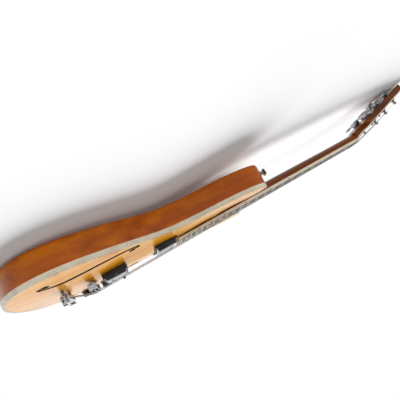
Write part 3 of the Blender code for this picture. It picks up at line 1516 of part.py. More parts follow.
def lever_mesh(nut_base, pivot):
    """Lever with a ball at its pivot and a rounded tip, about the pivot."""
    surface = nut_base - SEAT
    tip = surface + TOGGLE_TIP_HEIGHT - pivot
    grip = tip - TOGGLE_TIP_LENGTH
    profile = [(0.0, tip)]
    for turn in (pi / 6, pi / 3, pi / 2):
        profile.append(
            (TOGGLE_TIP_RADIUS * sin(turn), tip - TOGGLE_TIP_RADIUS * (1 - cos(turn)))
        )
    profile += [(TOGGLE_TIP_RADIUS * 0.8, grip), (TOGGLE_LEVER_RADIUS, grip)]
    neck_turn = asin(TOGGLE_LEVER_RADIUS / TOGGLE_BALL)
    for turn in np.linspace(neck_turn, pi, 7):
        profile.append((TOGGLE_BALL * sin(turn), TOGGLE_BALL * cos(turn)))
    return turned_mesh("toggle_lever", profile, 16)


# Output jack and strap buttons


def build_jack(back):
    """Output jack on its plate, let into the treble side at its widest."""
    face = -(LOWER_HALF - JACK_RECESS)
    plane = anchor("jack_plane", (LOWER_X, face, JACK_HEIGHT), (pi / 2, 0.0, 0.0))
    low = SEAT
    high = SEAT + JACK_PLATE_THICKNESS
    outline = rounded_rectangle(JACK_PLATE, JACK_PLATE, 6 * JACK_PLATE_THICKNESS / 2)
    jack = add_object("output_jack", plate_mesh("output_jack", [outline], low, high), CHROME, plane)
    can = cylinder_mesh("jack_can", JACK_CAN_RADIUS, -JACK_CAN_LENGTH, high - SEAT, 20)
    nut = cylinder_mesh("jack_nut", JACK_NUT_RADIUS, low + SEAT, high + JACK_NUT_HEIGHT, 6)
    bore = cylinder_mesh("jack_bore", JACK_BORE, high - JACK_BORE_DEPTH, 2 * JACK_BORE_DEPTH, 16)
    join(jack, add_object("jack_can", can, None, plane), add_object("jack_nut", nut, None, plane))
    cut(jack, add_object("jack_bore", bore, None, plane))
    recess = plate_mesh(
        "jack_recess",
        [rounded_rectangle(*(JACK_PLATE + 2 * SEAT,) * 2, 3 * JACK_PLATE_THICKNESS)],
        0.0,
        JACK_CAN_RADIUS,
    )
    hole = cylinder_mesh(
        "jack_hole", JACK_CAN_RADIUS + HOLE_CLEAR, -2 * RIM_WALL, JACK_CAN_RADIUS, 20
    )
    cut(back, add_object("jack_recess", recess, None, plane), add_object("jack_hole", hole, None, plane))


def build_strap_button(name, x, y, heading, recess, back):
    """Strap button screwed to the rim along X, on a spot-faced seat."""
    turn = (0.0, heading * pi / 2, 0.0)
    plane = anchor(f"{name}_plane", (x - heading * recess, y, STRAP_HEIGHT), turn)
    profile = (
        (0.0, STRAP_LENGTH),
        (STRAP_HEAD * 0.86, STRAP_LENGTH),
        (STRAP_HEAD, STRAP_LENGTH * 0.92),
        (STRAP_HEAD, STRAP_LENGTH * 0.82),
        (STRAP_WAIST * 1.15, STRAP_LENGTH * 0.6),
        (STRAP_WAIST, STRAP_LENGTH * 0.4),
        (STRAP_BASE * 0.8, STRAP_LENGTH * 0.14),
        (STRAP_BASE, STRAP_LENGTH * 0.08),
        (STRAP_BASE, SEAT),
        (STRAP_SCREW_RADIUS, SEAT),
        (STRAP_SCREW_RADIUS, -STRAP_SCREW_LENGTH),
        (0.0, -STRAP_SCREW_LENGTH),
    )
    add_object(name, turned_mesh(name, profile), CHROME, plane)
    seat = cylinder_mesh(f"{name}_seat", STRAP_BASE + SEAT, 0.0, STRAP_LENGTH, 24)
    screw = cylinder_mesh(
        f"{name}_screw", STRAP_SCREW_RADIUS + HOLE_CLEAR, -STRAP_SCREW_LENGTH - SEAT, SEAT, 12
    )
    cut(back, add_object(seat.name, seat, None, plane), add_object(screw.name, screw, None, plane))


def build_guitar():
    """All the pieces of the guitar."""
    neck, pocket, opening = build_neck()
    back, top, binding = build_body()
    chambers = wing_chambers()
    cut(back, chambers, pocket)

    hollow = add_object(
        "top_hollow", arch_mesh("top_hollow", -TOP_PLATE, BACK_PLATE + SEAT, HOLLOW_CELL)
    )
    combine(hollow, chambers, "INTERSECT")
    deep = 2 * RIM_DEPTH
    seat_half = BOARD_END_HALF + SEAT
    seat_size = (BOARD_LENGTH, 2 * seat_half, deep)
    seat_centre = (-BOARD_LENGTH / 2 - SEAT, 0.0, deep / 2 - SEAT / 2)
    board_seat = add_object(
        "board_seat", box_mesh("board_seat", seat_size, seat_centre), None, NECK_PLANE
    )
    cut(top, hollow, pocket, board_seat)
    for side in (1, -1):
        cut(top, *sound_hole_cutters(side))
    gap_size = (2 * RIM_WALL, 2 * CROTCH_Y, 2 * deep)
    neck_gap = add_object("neck_gap", box_mesh("neck_gap", gap_size, (JOINT_X, 0.0, RIM_DEPTH)))
    cut(binding, neck_gap)

    surface = add_object("seat_surface", arch_mesh("seat_surface", SEAT, BACK_PLATE, ARCH_CELL))
    build_pickup(
        "bridge_pickup", BRIDGE_PICKUP_X, BRIDGE_RING_HEIGHT, BRIDGE_RING_TILT, back, top, surface
    )
    build_pickup("neck_pickup", NECK_PICKUP_X, NECK_RING_HEIGHT, NECK_RING_TILT, back, top, surface)
    face = build_headstock(opening)
    build_tuners(neck, face)
    build_bridge(back, top)
    bar_height = build_tailpiece(back, top)
    build_strings(bar_height)
    build_controls(top)
    build_jack(back)
    build_strap_button("strap_button_horn", HORN_X, HORN_Y, 1, STRAP_RECESS_HORN, back)
    build_strap_button("strap_button_tail", TAIL_X, 0.0, -1, STRAP_RECESS_TAIL, back)


build_guitar()
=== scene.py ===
"""Visual model of a semi-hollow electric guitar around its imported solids.

X runs from the bridge towards the head, Y towards the bass side and Z out of the top, in metres.
"""

import json  # noqa: E402
import logging  # noqa: E402
import math  # noqa: E402
from dataclasses import dataclass, field  # noqa: E402
from enum import Enum  # noqa: E402

import bmesh  # noqa: E402
import bpy  # noqa: E402
import numpy as np  # noqa: E402
from mathutils import Matrix, Vector  # noqa: E402


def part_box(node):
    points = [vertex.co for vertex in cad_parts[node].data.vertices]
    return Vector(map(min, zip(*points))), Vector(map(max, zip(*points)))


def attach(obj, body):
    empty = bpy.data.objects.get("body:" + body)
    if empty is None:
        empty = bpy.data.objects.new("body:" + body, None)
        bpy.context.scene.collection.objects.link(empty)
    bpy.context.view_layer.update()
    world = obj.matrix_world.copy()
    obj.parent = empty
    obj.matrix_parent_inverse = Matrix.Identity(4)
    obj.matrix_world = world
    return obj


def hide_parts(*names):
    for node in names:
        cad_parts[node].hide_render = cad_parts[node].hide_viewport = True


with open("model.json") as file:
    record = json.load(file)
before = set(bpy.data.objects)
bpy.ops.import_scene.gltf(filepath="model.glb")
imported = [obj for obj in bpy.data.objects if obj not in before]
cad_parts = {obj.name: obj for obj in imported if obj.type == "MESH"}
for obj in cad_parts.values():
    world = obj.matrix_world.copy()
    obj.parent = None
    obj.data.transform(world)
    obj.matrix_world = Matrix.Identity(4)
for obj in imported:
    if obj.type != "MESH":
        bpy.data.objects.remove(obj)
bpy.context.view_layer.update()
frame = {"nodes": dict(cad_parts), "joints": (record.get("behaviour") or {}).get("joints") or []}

logging.basicConfig(level=logging.INFO, format="%(message)s")
LOG = logging.getLogger("guitar")

ROOT = "guitar"
HAIR = 0.0001
SLIVER = 0.00005


class Slot(Enum):
    """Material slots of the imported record."""

    MAHOGANY = "mahogany"
    MAPLE = "amber_maple"
    CREAM = "cream_binding"
    BLACK = "black_plastic"
    CHROME = "chrome"
    STEEL = "string_steel"
    BONE = "bone"


# Finishes


class Graph:
    """Node graph of one material, with its shader and Object coordinates ready."""

    def __init__(self, name: str) -> None:
        """Start a material.

        Args:
            name: the material's name.
        """
        self.material = bpy.data.materials.new(name)
        self.material.use_nodes = True
        self.nodes = self.material.node_tree.nodes
        self.links = self.material.node_tree.links
        self.shader = self.nodes["Principled BSDF"]
        self.place = self.nodes.new("ShaderNodeTexCoord").outputs["Object"]

    def stretched(self, scale: tuple[float, float, float]) -> bpy.types.NodeSocket:
        """Object coordinates scaled along each axis.

        Args:
            scale: factor along X, Y and Z.

        Returns:
            The mapped vector socket.
        """
        mapping = self.nodes.new("ShaderNodeMapping")
        mapping.inputs["Scale"].default_value = scale
        self.links.new(self.place, mapping.inputs["Vector"])
        return mapping.outputs["Vector"]

    def noise(self, vector: bpy.types.NodeSocket, scale: float, detail: float = 6.0) -> bpy.types.NodeSocket:
        """Noise value at a vector.

        Args:
            vector: the coordinates.
            scale: the pattern's frequency.
            detail: the number of octaves.

        Returns:
            The noise's factor socket.
        """
        node = self.nodes.new("ShaderNodeTexNoise")
        node.inputs["Scale"].default_value = scale
        node.inputs["Detail"].default_value = detail
        self.links.new(vector, node.inputs["Vector"])
        return node.outputs["Fac"]

    def ramp(self, factor: bpy.types.NodeSocket, stops: tuple) -> bpy.types.NodeSocket:
        """Colour ramp over a factor.

        Args:
            factor: the driving socket.
            stops: (position, linear colour) pairs.

        Returns:
            The ramp's colour socket.
        """
        node = self.nodes.new("ShaderNodeValToRGB")
        elements = node.color_ramp.elements
        while len(elements) < len(stops):
            elements.new(0.5)
        for element, (position, colour) in zip(elements, stops):
            element.position = position
            element.color = (*colour, 1.0)
        self.links.new(factor, node.inputs["Fac"])
        return node.outputs["Color"]

    def roughness(self, factor: bpy.types.NodeSocket, low: float, high: float) -> None:
        """Vary the roughness over a factor.

        Args:
            factor: the driving socket.
            low: roughness where the factor is low.
            high: roughness where it is high.
        """
        node = self.nodes.new("ShaderNodeMapRange")
        node.inputs["From Min"].default_value = 0.3
        node.inputs["From Max"].default_value = 0.7
        node.inputs["To Min"].default_value = low
        node.inputs["To Max"].default_value = high
        self.links.new(factor, node.inputs["Value"])
        self.links.new(node.outputs["Result"], self.shader.inputs["Roughness"])

    def bump(self, factor: bpy.types.NodeSocket, depth: float) -> None:
        """Raise the surface a little over a factor.

        Args:
            factor: the height socket.
            depth: the bump's distance in metres.
        """
        node = self.nodes.new("ShaderNodeBump")
        node.inputs["Distance"].default_value = depth
        node.inputs["Strength"].default_value = 0.5
        self.links.new(factor, node.inputs["Height"])
        self.links.new(node.outputs["Normal"], self.shader.inputs["Normal"])


@dataclass(frozen=True)
class WoodFinish:
    """Lacquered or oiled wood with its grain along X."""

    name: str
    dark: tuple[float, float, float]
    middle: tuple[float, float, float]
    light: tuple[float, float, float]
    grain: float = 60.0
    stretch: float = 0.06
    rough: tuple[float, float] = (0.16, 0.24)
    coat: float = 0.6
    relief: float = 0.00002
    specular: float = 0.5

    def material(self) -> bpy.types.Material:
        """Material of broad bands of colour with fine pores."""
        graph = Graph(self.name)
        bands = graph.noise(graph.stretched((self.stretch, 1.0, 1.0)), self.grain, 8.0)
        colour = graph.ramp(bands, ((0.30, self.dark), (0.5, self.middle), (0.68, self.light)))
        pores = graph.noise(graph.stretched((self.stretch / 2, 1.0, 1.0)), self.grain * 22, 3.0)
        pore_shade = graph.ramp(pores, ((0.36, (0.55, 0.5, 0.45)), (0.5, (1.0, 1.0, 1.0))))
        mix = graph.nodes.new("ShaderNodeMix")
        mix.data_type = "RGBA"
        mix.blend_type = "MULTIPLY"
        mix.inputs["Factor"].default_value = 0.45
        graph.links.new(colour, mix.inputs["A"])
        graph.links.new(pore_shade, mix.inputs["B"])
        graph.links.new(mix.outputs["Result"], graph.shader.inputs["Base Color"])
        graph.roughness(bands, *self.rough)
        graph.bump(pores, self.relief)
        graph.shader.inputs["Specular IOR Level"].default_value = self.specular
        graph.shader.inputs["Coat Weight"].default_value = self.coat
        graph.shader.inputs["Coat Roughness"].default_value = 0.06
        return graph.material


@dataclass(frozen=True)
class PlasticFinish:
    """Moulded or sheet plastic, bone or shell with faint mottling."""

    name: str
    dark: tuple[float, float, float]
    light: tuple[float, float, float]
    rough: tuple[float, float] = (0.22, 0.32)
    scale: float = 90.0
    coat: float = 0.0

    def material(self) -> bpy.types.Material:
        """Material of softly mottled colour."""
        graph = Graph(self.name)
        cloud = graph.noise(graph.stretched((0.4, 1.0, 1.0)), self.scale)
        colour = graph.ramp(cloud, ((0.35, self.dark), (0.65, self.light)))
        graph.links.new(colour, graph.shader.inputs["Base Color"])
        graph.roughness(cloud, *self.rough)
        graph.shader.inputs["Coat Weight"].default_value = self.coat
        return graph.material


@dataclass(frozen=True)
class MetalFinish:
    """Polished or brushed metal with fine handling marks."""

    name: str
    dark: tuple[float, float, float]
    light: tuple[float, float, float]
    rough: tuple[float, float] = (0.05, 0.14)
    scale: float = 220.0
    stretch: float = 0.3

    def material(self) -> bpy.types.Material:
        """Material of metal whose gloss varies a little."""
        graph = Graph(self.name)
        marks = graph.noise(graph.stretched((self.stretch, 1.0, 1.0)), self.scale, 4.0)
        colour = graph.ramp(marks, ((0.3, self.dark), (0.7, self.light)))
        graph.links.new(colour, graph.shader.inputs["Base Color"])
        graph.roughness(marks, *self.rough)
        graph.shader.inputs["Metallic"].default_value = 1.0
        return graph.material


@dataclass(frozen=True)
class WoundFinish:
    """Round-wound string, its wrap shown as fine ridges across X."""

    name: str
    pitch: float = 0.0006

    def material(self) -> bpy.types.Material:
        """Material of steel with a wrap."""
        graph = Graph(self.name)
        wave = graph.nodes.new("ShaderNodeTexWave")
        wave.bands_direction = "X"
        wave.inputs["Scale"].default_value = 1.0 / self.pitch / 20
        wave.inputs["Distortion"].default_value = 0.4
        graph.links.new(graph.place, wave.inputs["Vector"])
        colour = graph.ramp(wave.outputs["Fac"], ((0.2, (0.28, 0.27, 0.25)), (0.8, (0.62, 0.6, 0.57))))
        graph.links.new(colour, graph.shader.inputs["Base Color"])
        graph.roughness(wave.outputs["Fac"], 0.25, 0.4)
        graph.bump(wave.outputs["Fac"], 0.00008)
        graph.shader.inputs["Metallic"].default_value = 1.0
        return graph.material


@dataclass
class Finishes:
    """Every finish on the guitar, made once."""

    mahogany: bpy.types.Material = field(init=False)
    neck: bpy.types.Material = field(init=False)
    maple: bpy.types.Material = field(init=False)
    rosewood: bpy.types.Material = field(init=False)
    cream: bpy.types.Material = field(init=False)
    black: bpy.types.Material = field(init=False)
    rubber_black: bpy.types.Material = field(init=False)
    bone: bpy.types.Material = field(init=False)
    pearl: bpy.types.Material = field(init=False)
    chrome: bpy.types.Material = field(init=False)
    nickel: bpy.types.Material = field(init=False)
    steel: bpy.types.Material = field(init=False)
    wound: bpy.types.Material = field(init=False)

    def __post_init__(self) -> None:
        """Make the materials."""
        self.mahogany = WoodFinish(
            "lacquered_mahogany",
            (0.32, 0.058, 0.0012),
            (0.44, 0.092, 0.0015),
            (0.56, 0.15, 0.003),
            stretch=0.03,
            coat=0.08,
            specular=0.16,
        ).material()
        self.neck = WoodFinish(
            "neck_mahogany",
            (0.085, 0.017, 0.003),
            (0.15, 0.034, 0.004),
            (0.22, 0.055, 0.006),
            grain=90.0,
            coat=0.05,
            specular=0.16,
        ).material()
        self.maple = WoodFinish(
            "amber_maple",
            (0.74, 0.27, 0.003),
            (0.86, 0.36, 0.004),
            (0.92, 0.44, 0.010),
            grain=45.0,
            stretch=0.12,
            rough=(0.12, 0.18),
            relief=0.000004,
            coat=0.03,
            specular=0.13,
        ).material()
        self.rosewood = WoodFinish(
            "oiled_rosewood",
            (0.016, 0.007, 0.004),
            (0.045, 0.020, 0.011),
            (0.10, 0.045, 0.022),
            grain=120.0,
            rough=(0.4, 0.55),
            coat=0.0,
            relief=0.00005,
        ).material()
        self.cream = PlasticFinish("cream_binding", (0.62, 0.54, 0.40), (0.72, 0.66, 0.52)).material()
        self.black = PlasticFinish(
            "gloss_black", (0.006, 0.006, 0.006), (0.014, 0.013, 0.012), rough=(0.12, 0.2)
        ).material()
        self.rubber_black = PlasticFinish(
            "satin_black", (0.008, 0.008, 0.008), (0.02, 0.02, 0.02), rough=(0.35, 0.5)
        ).material()
        self.bone = PlasticFinish("bone", (0.62, 0.55, 0.40), (0.78, 0.72, 0.58), (0.3, 0.45)).material()
        self.pearl = PlasticFinish(
            "pearl", (0.55, 0.55, 0.52), (0.86, 0.86, 0.84), (0.12, 0.3), 400.0, 0.5
        ).material()
        # The chrome's base colour is set darker than real polished chrome: painted shade that stands for the dark
        # surroundings its reflections show.
        self.chrome = MetalFinish("polished_chrome", (0.27, 0.27, 0.29), (0.46, 0.46, 0.48)).material()
        self.nickel = MetalFinish(
            "fret_nickel", (0.50, 0.49, 0.46), (0.66, 0.65, 0.62), (0.16, 0.28)
        ).material()
        self.steel = MetalFinish("plain_steel", (0.50, 0.50, 0.50), (0.70, 0.70, 0.70), (0.18, 0.3)).material()
        self.wound = WoundFinish("wound_string").material()


# Making pieces


def piece(
    name: str,
    vertices: np.ndarray,
    faces: list,
    finish: bpy.types.Material,
    slot: Slot,
    body: str = ROOT,
    replaces: tuple[str, ...] = (),
    sharp: float = 35.0,
) -> bpy.types.Object:
    """Make a mesh piece that rides on a body.

    Args:
        name: the piece's name.
        vertices: its points as rows of (x, y, z).
        faces: its faces as lists of point numbers.
        finish: its material.
        slot: the record's slot that the finish belongs to; not used.
        body: the body that it moves with.
        replaces: solids that it stands for.
        sharp: the angle in degrees past which an edge stays sharp.

    Returns:
        The piece's object.
    """
    mesh = bpy.data.meshes.new(name)
    mesh.from_pydata(np.asarray(vertices, dtype=float).tolist(), [], faces)
    tidy = bmesh.new()
    tidy.from_mesh(mesh)
    bmesh.ops.remove_doubles(tidy, verts=tidy.verts, dist=1e-7)
    bmesh.ops.recalc_face_normals(tidy, faces=tidy.faces)
    tidy.to_mesh(mesh)
    tidy.free()
    mesh.shade_smooth()
    mesh.set_sharp_from_angle(angle=math.radians(sharp))
    mesh.materials.append(finish)
    made = bpy.data.objects.new(name, mesh)
    bpy.context.scene.collection.objects.link(made)
    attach(made, body)
    if replaces:
        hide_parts(*replaces)
    LOG.info("%s: %d faces on %s", name, len(mesh.polygons), body)
    return made


def grid_faces(rows: int, columns: int, around: bool, closed: bool, start: int = 0) -> list[list[int]]:
    """Quads of a grid of points stored row by row.

    Args:
        rows: the number of rows.
        columns: the number of points in a row.
        around: whether each row closes on itself.
        closed: whether the last row joins the first.
        start: the number of the first point.

    Returns:
        The faces as lists of point numbers.
    """
    i = np.arange(rows if closed else rows - 1)[:, None]
    j = np.arange(columns if around else columns - 1)[None, :]
    next_i = (i + 1) % rows
    next_j = (j + 1) % columns
    quads = np.stack(
        [i * columns + j, i * columns + next_j, next_i * columns + next_j, next_i * columns + j], axis=-1
    )
    return (quads.reshape(-1, 4) + start).tolist()


def joined(parts: list[tuple[np.ndarray, list]]) -> tuple[np.ndarray, list]:
    """Several (points, faces) shapes as one.

    Args:
        parts: the shapes.

    Returns:
        All points and all faces.
    """
    points, faces, start = [], [], 0
    for vertices, own in parts:
        points.append(vertices)
        faces += [[number + start for number in face] for face in own]
        start += len(vertices)
    return np.concatenate(points), faces


def turned(profile: np.ndarray, matrix: Matrix, around: int = 24) -> tuple[np.ndarray, list]:
    """Revolve a profile about the Z axis of a frame.

    A point (r, z) of the profile becomes (r cos a, r sin a, z) for each angle a of a full turn.

    Args:
        profile: rows of (radius, height), from the axis out and back to it.
        matrix: the frame's place.
        around: the number of angles.

    Returns:
        Points and faces.
    """
    a = np.linspace(0.0, 2 * np.pi, around, endpoint=False)[:, None]
    r, z = profile[None, :, 0], profile[None, :, 1]
    flat = np.stack([r * np.cos(a), r * np.sin(a), np.broadcast_to(z, (around, len(profile)))], axis=-1)
    return placed(flat.reshape(-1, 3), matrix), grid_faces(around, len(profile), False, True)


def placed(points: np.ndarray, matrix: Matrix) -> np.ndarray:
    """Points moved by a 4 by 4 matrix.

    Args:
        points: rows of (x, y, z).
        matrix: the move.

    Returns:
        The moved rows.
    """
    m = np.array(matrix)
    return points @ m[:3, :3].T + m[:3, 3]


def screw_head(matrix: Matrix, radius: float, height: float, slot: float = 0.22) -> tuple[np.ndarray, list]:
    """Slotted, domed screw head.

    On a polar grid the height is a shallow dome, lowered by a slot where the offset from a
    diameter is less than a share of the radius.

    Args:
        matrix: the head's place, its Z axis out of the surface.
        radius: the head's radius.
        height: the dome's height.
        slot: half of the slot's width as a share of the radius.

    Returns:
        Points and faces.
    """
    around, rings = 32, 7
    share = np.linspace(0.0, 1.0, rings)[None, :]
    a = np.linspace(0.0, 2 * np.pi, around, endpoint=False)[:, None]
    x, y = radius * share * np.cos(a), radius * share * np.sin(a)
    z = height * (1 - 0.45 * share**2) * np.ones_like(a)
    z = np.where(np.abs(y) < slot * radius, z - height * 0.6, z)
    skirt = np.stack([radius * np.cos(a), radius * np.sin(a), np.full_like(a, -height)], axis=-1)
    centre = np.stack([0 * a, 0 * a, np.full_like(a, -height)], axis=-1)
    top = np.stack([x, y, z], axis=-1)
    points = np.concatenate([top, skirt, centre], axis=1)
    return placed(points.reshape(-1, 3), matrix), grid_faces(around, rings + 2, False, True)


# Body


def bezier_run(start: np.ndarray, leaving: np.ndarray, arriving: np.ndarray, end: np.ndarray, steps: int) -> np.ndarray:
    """Points of a cubic curve, (1-t)^3 a + 3(1-t)^2 t b + 3(1-t) t^2 c + t^3 d, without the last.

    Args:
        start: first end.
        leaving: control point after it.
        arriving: control point before the other end.
        end: other end.
        steps: the number of points.

    Returns:
        Rows of points.
    """
    t = np.linspace(0.0, 1.0, steps, endpoint=False)[:, None]
    return (1 - t) ** 3 * start + 3 * (1 - t) ** 2 * t * leaving + 3 * (1 - t) * t**2 * arriving + t**3 * end


def curve_through(knots: tuple, steps: int) -> np.ndarray:
    """Curve through knots of (point, heading, handle before, handle after).

    Args:
        knots: the knots in order.
        steps: points for each run.

    Returns:
        Rows of points, the last knot included.
    """
    runs = []
    for (start, out, _, reach), (end, into, back, _) in zip(knots, knots[1:]):
        a, d = np.array(start), np.array(end)
        runs.append(bezier_run(a, a + np.array(out) * reach, d - np.array(into) * back, d, steps))
    runs.append(np.array([knots[-1][0]]))
    return np.concatenate(runs)


def inset(loop: np.ndarray, distance: float) -> np.ndarray:
    """Closed loop moved inwards, each point along the mean of its edges' normals.

    Args:
        loop: rows of (x, y).
        distance: how far, negative for outwards.

    Returns:
        The moved loop.
    """
    before = loop - np.roll(loop, 1, axis=0)
    after = np.roll(loop, -1, axis=0) - loop
    before /= np.linalg.norm(before, axis=1, keepdims=True)
    after /= np.linalg.norm(after, axis=1, keepdims=True)
    mean = before + after
    mean /= np.linalg.norm(mean, axis=1, keepdims=True)
    area = np.sum(loop[:, 0] * np.roll(loop[:, 1], -1) - np.roll(loop[:, 0], -1) * loop[:, 1])
    normal = np.sign(area) * np.stack([-mean[:, 1], mean[:, 0]], axis=1)
    return loop + normal * distance / np.sum(mean * after, axis=1, keepdims=True)


@dataclass
class BodyShape:
    """Outline of the body and the heights of its arched top."""

    joint_x: float = 0.24948
    crotch_y: float = 0.02736
    rim_depth: float = 0.0457
    arch_rise: float = 0.0125
    arch_span: float = 0.160
    cell: float = 0.0025
    fairing: int = 60
    edge_band: float = 0.030
    outline: np.ndarray = field(init=False)

    def __post_init__(self) -> None:
        """Work out the outline and the height map."""
        self.outline = self.edge(28)
        self._map_heights()

    def edge(self, steps: int) -> np.ndarray:
        """Outline of the body, the treble half mirrored from the bass half.

        Args:
            steps: points for each curve.

        Returns:
            Closed loop of (x, y) rows.
        """
        bass = curve_through(
            (
                ((-0.138, 0.0), (0, 1), 0.0, 0.120),
                ((-0.037, 0.195), (1, 0), 0.060, 0.075),
                ((0.162, 0.100), (1, 0), 0.045, 0.045),
                ((0.295, 0.126), (1, 0), 0.050, 0.030),
                ((0.345, 0.099), (0, -1), 0.017, 0.017),
                ((0.295, 0.068), (-1, 0), 0.025, 0.025),
                ((self.joint_x, self.crotch_y), (0, -1), 0.022, 0.0),
            ),
            steps,
        )
        return np.concatenate([bass, bass[:0:-1] * (1, -1)])

    def _distance(self, points: np.ndarray) -> np.ndarray:
        """Distance of points inside the outline from it, zero outside.

        Args:
            points: rows of (x, y).

        Returns:
            One distance for each row.
        """
        start = self.edge(10)
        span = np.roll(start, -1, axis=0) - start
        reach = points[:, None, :] - start[None]
        share = np.clip(np.sum(reach * span, axis=2) / np.sum(span * span, axis=1), 0.0, 1.0)
        gap = np.linalg.norm(reach - share[..., None] * span, axis=2).min(axis=1)
        below = points[:, None, 1] < start[None, :, 1]
        next_below = points[:, None, 1] < (start + span)[None, :, 1]
        slope = span[:, 0] / np.where(span[:, 1] == 0, 1.0, span[:, 1])
        crossing = start[:, 0] + slope * reach[..., 1]
        inside = np.sum((below != next_below) & (points[:, None, 0] < crossing), axis=1) % 2 == 1
        return np.where(inside, gap, 0.0)

    def _map_heights(self) -> None:
        """Raised cosine of the distance from the edge, faired away from the edge by averaging."""
        self.low = self.outline.min(axis=0) - 4 * self.cell
        high = self.outline.max(axis=0) + 4 * self.cell
        columns, rows = np.ceil((high - self.low) / self.cell).astype(int) + 1
        x, y = np.meshgrid(np.arange(columns), np.arange(rows), indexing="ij")
        points = np.stack([x, y], axis=-1).reshape(-1, 2) * self.cell + self.low
        distance = np.concatenate([self._distance(block) for block in np.array_split(points, 24)])
        share = np.clip(distance / self.arch_span, 0.0, 1.0)
        crisp = (self.arch_rise * (1 - np.cos(np.pi * share)) / 2).reshape(columns, rows)
        fair = crisp.copy()
        for _ in range(self.fairing):
            padded = np.pad(fair, 1, mode="edge")
            around = padded[2:, 1:-1] + padded[:-2, 1:-1] + padded[1:-1, 2:] + padded[1:-1, :-2]
            fair = (fair + around / 4) / 2
        blend = np.clip(distance / self.edge_band, 0.0, 1.0).reshape(columns, rows)
        self.heights = self.rim_depth + crisp * (1 - blend) + fair * blend

    def height(self, points: np.ndarray) -> np.ndarray:
        """Height of the arched top, by linear interpolation in the map.

        Args:
            points: rows of (x, y).

        Returns:
            One height for each row.
        """
        spot = (np.asarray(points)[:, :2] - self.low) / self.cell
        limit = np.array(self.heights.shape) - 2
        whole = np.clip(np.floor(spot).astype(int), 0, limit)
        part = np.clip(spot - whole, 0.0, 1.0)
        i, j, u, v = whole[:, 0], whole[:, 1], part[:, 0], part[:, 1]
        h = self.heights
        return (
            h[i, j] * (1 - u) * (1 - v)
            + h[i + 1, j] * u * (1 - v)
            + h[i, j + 1] * (1 - u) * v
            + h[i + 1, j + 1] * u * v
        )


@dataclass
class SoundHole:
    """One f-shaped sound-hole: a slit that hooks into an eyelet at each end."""

    side: int
    slit_y: float = 0.118
    tail_x: float = -0.035
    head_x: float = 0.062
    half: float = 0.004
    end_half: float = 0.0016
    reach: float = 0.031
    shift: float = 0.0105
    eye_radius: float = 0.006
    eye_reach: float = 0.020
    eye_shift: float = 0.0175

    def loop(self) -> np.ndarray:
        """Outline of the hole: both sides of the slit and the arcs of its eyelets.

        The slit's half width grows from its ends to its middle as a half sine.

        Returns:
            Closed loop of (x, y) rows.
        """
        tail_eye = (self.tail_x - self.eye_reach, self.slit_y + self.eye_shift)
        head_eye = (self.head_x + self.eye_reach, self.slit_y - self.eye_shift)
        bend = self.shift / 2
        swing = self.reach / 2
        knots = (
            (tail_eye, (-1, 0), 0.0, bend),
            ((self.tail_x - self.reach, self.slit_y + self.shift), (0, -1), bend, bend),
            ((self.tail_x, self.slit_y + self.half / 4), (1, 0), swing, swing),
            ((self.head_x, self.slit_y - self.half / 4), (1, 0), swing, swing),
            ((self.head_x + self.reach, self.slit_y - self.shift), (0, -1), bend, bend),
            (head_eye, (-1, 0), bend, 0.0),
        )
        path = curve_through(knots, 14)
        heading = np.gradient(path, axis=0)
        heading /= np.linalg.norm(heading, axis=1, keepdims=True)
        normal = np.stack([-heading[:, 1], heading[:, 0]], axis=1)
        along = np.linspace(0.0, 1.0, len(path))
        half = (self.end_half + (self.half - self.end_half) * np.sin(np.pi * along))[:, None]
        sides = []
        for edge in (path + normal * half, path - normal * half):
            clear = np.linalg.norm(edge - tail_eye, axis=1) > self.eye_radius
            clear &= np.linalg.norm(edge - head_eye, axis=1) > self.eye_radius
            sides.append(edge[clear])
        left, right = sides
        head_arc = self._arc(np.array(head_eye), left[-1], right[-1])
        tail_arc = self._arc(np.array(tail_eye), right[0], left[0])
        return np.concatenate([left, head_arc, right[::-1], tail_arc]) * (1, self.side)

    def _arc(self, centre: np.ndarray, start: np.ndarray, end: np.ndarray) -> np.ndarray:
        """Points of an eyelet clockwise between two points on its rim.

        Args:
            centre: the eyelet's centre.
            start: point where the arc begins.
            end: point where it ends.

        Returns:
            Rows of points strictly between them.
        """
        first = math.atan2(*(start - centre)[::-1])
        last = math.atan2(*(end - centre)[::-1])
        if last > first:
            last -= 2 * math.pi
        a = np.linspace(first, last, 26)[1:-1]
        return centre + self.eye_radius * np.stack([np.cos(a), np.sin(a)], axis=1)


